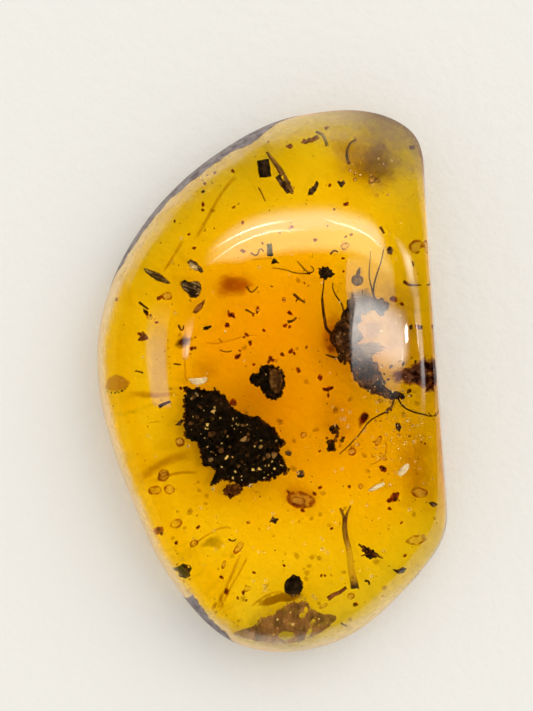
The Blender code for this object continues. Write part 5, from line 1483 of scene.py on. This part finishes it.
sheen_and_haze_sheet, turn = rim_sheet("rim_haze", SHEEN_AND_HAZE_ANGLES, SHEEN_AND_HAZE_TOPS, 0.012)
mark(sheen_and_haze_sheet, "dull", np.clip((SHEEN_FROM - turn) / SHEEN_OVER, 0, 1))
mark(sheen_and_haze_sheet, "thick", np.interp(turn, SHEEN_AND_HAZE_ANGLES, SHEEN_AND_HAZE_THICKNESS))
mark(sheen_and_haze_sheet, "reach", np.interp(turn, SHEEN_AND_HAZE_ANGLES, SHEEN_AND_HAZE_REACH))
sheen_and_haze = Finish("rim_haze", {"Roughness": 0.8, "Specular IOR Level": 0.1})
sheen_and_haze_patch = sheen_and_haze.noise(1.0, 5.0, 0.65)
haze_dull = sheen_and_haze.attribute("dull")
# Pale peach where the sheet is painted reflection of the white room, grey-brown where it is dull haze.
sheen_and_haze.vary("Base Color", sheen_and_haze.mixed(haze_dull, (0.97, 0.78, 0.52, 1.0), (0.22, 0.145, 0.115, 1.0)))
sheen_and_haze_rim = sheen_and_haze.attribute("rim")
sheen_and_haze_cover = ((sheen_and_haze_rim + (sheen_and_haze_patch - 0.5) * 0.8) * sheen_and_haze.attribute("reach")).between(0.02, 1.0)
sheen_and_haze.vary("Alpha", sheen_and_haze_cover * sheen_and_haze_rim.between(0.0, 0.3) * sheen_and_haze.attribute("thick"))
sheen_and_haze_sheet.data.materials.append(sheen_and_haze.material)
warmed = rim_sheet("rim_warmth", (138, 262), (0.76, 0.76), 0.006)[0]
warmth = Finish("rim_warmth", {"Roughness": 0.8, "Specular IOR Level": 0.1})
warmth_depth = warmth.attribute("rim") + (warmth.noise(0.8, 4.0) - 0.5) * 0.15
warmth_cover = warmth_depth.between(0.02, 0.2) * (1.0 - warmth_depth.between(0.4, 0.62))
warmth.dye((0.97, 0.88, 0.3), warmth_cover, 0.0)
warmed.data.materials.append(warmth.material)

# Rind
# Thin grey-brown crust of weathered resin left along the stone's rim, where the polishing wheel didn't reach,
# with a broken upper edge. The longest strip runs along the far left, and a short one is at the near left.
rind = Finish("rind", {"Roughness": 0.7})
rind_patch = rind.noise(0.5, 5.0, 0.65)
RIND_TINTS = ((0.13, 0.10, 0.10), (0.27, 0.22, 0.21), (0.36, 0.30, 0.29))
rind.vary("Base Color", rind.ramp(rind_patch.between(0.3, 0.7), *RIND_TINTS))
rind.bump(rind.noise(0.1, 3.0), 0.04)
RIND_COLUMNS, RIND_ROWS = 200, 14


def rind_strip(name, start, end, low, high, ragged, proud=0.03):
    """Strip on the stone's skin between two angles. low and high are how far under and over the girdle it
    reaches, as shares of the ball's radius."""
    piece = new_grid(name, RIND_COLUMNS, RIND_ROWS)
    grid = points_of(piece) + 0.5
    angle = np.radians(start + (end - start) * grid[:, 0])
    places = [Vector((share * RIND_COLUMNS / RIND_ROWS, 0.0, start)) for share in grid[:, 0]]
    fray = np.array([noise.hetero_terrain(place, 0.9, 2.0, 3, 0.5) for place in places])
    ends = np.clip(np.minimum(grid[:, 0], 1 - grid[:, 0]) * 7, 0.05, 1)
    top = (high * (1.25 - 0.5 * grid[:, 0]) - ragged * (fray - fray.mean())) * ends
    level = low * ends + (top - low * ends) * grid[:, 1]
    level = np.clip(level, -0.9, 0.9)
    set_points(piece, (pressed(on_ball(angle, level)) - stone_middle) * MM)
    face_outwards()
    wall = piece.modifiers.new("wall", "SOLIDIFY")
    wall.thickness = 2 * proud * MM
    wall.offset = 0.0
    bpy.ops.object.modifier_apply(modifier=wall.name)
    piece.data.materials.append(rind.material)
    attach(piece, "root")


rind_strip("rind_far_left", 79.0, 146.0, -0.35, 0.29, 0.035)
rind_strip("rind_near_left", 244.0, 259.0, -0.3, 0.31, 0.05)

# Left crack
# A small brown conchoidal crack at the left rim, with dirt along its lower edge. Resin has filled it, so it
# shows as a thin brown shell inside the stone.
CRACK_EDGE = ((-9.25, 0.4), (-9.0, 0.95), (-8.5, 1.2), (-7.95, 1.0), (-7.6, 0.6), (-8.0, 0.28), (-8.6, 0.1))
crack = Finish("rim_crack", {"Base Color": (0.4, 0.26, 0.17, 1.0), "Roughness": 0.6})
crack_fade = crack.frayed(crack.noise(0.5, 4.0), 0.4, 0.75, 0.98)
crack.dye((0.66, 0.48, 0.4), crack_fade, crack_fade * 0.24)
seal(skins("rim_crack", [(CRACK_EDGE, 2.3, 0.0)]), crack, "amber")
CRACK_DIRT = [(x, y, 2.5, radius, 0.2) for x, y, radius in (
    (-9.0, 0.2, 0.05), (-8.8, 0.13, 0.05), (-8.6, 0.1, 0.06), (-8.4, 0.12, 0.05), (-8.2, 0.2, 0.06),
    (-8.0, 0.3, 0.05), (-7.9, 0.4, 0.05), (-9.1, 0.35, 0.04), (-8.5, 0.16, 0.04))]
seal(crumbs("rim_crack_dirt", CRACK_DIRT), frass, "amber")
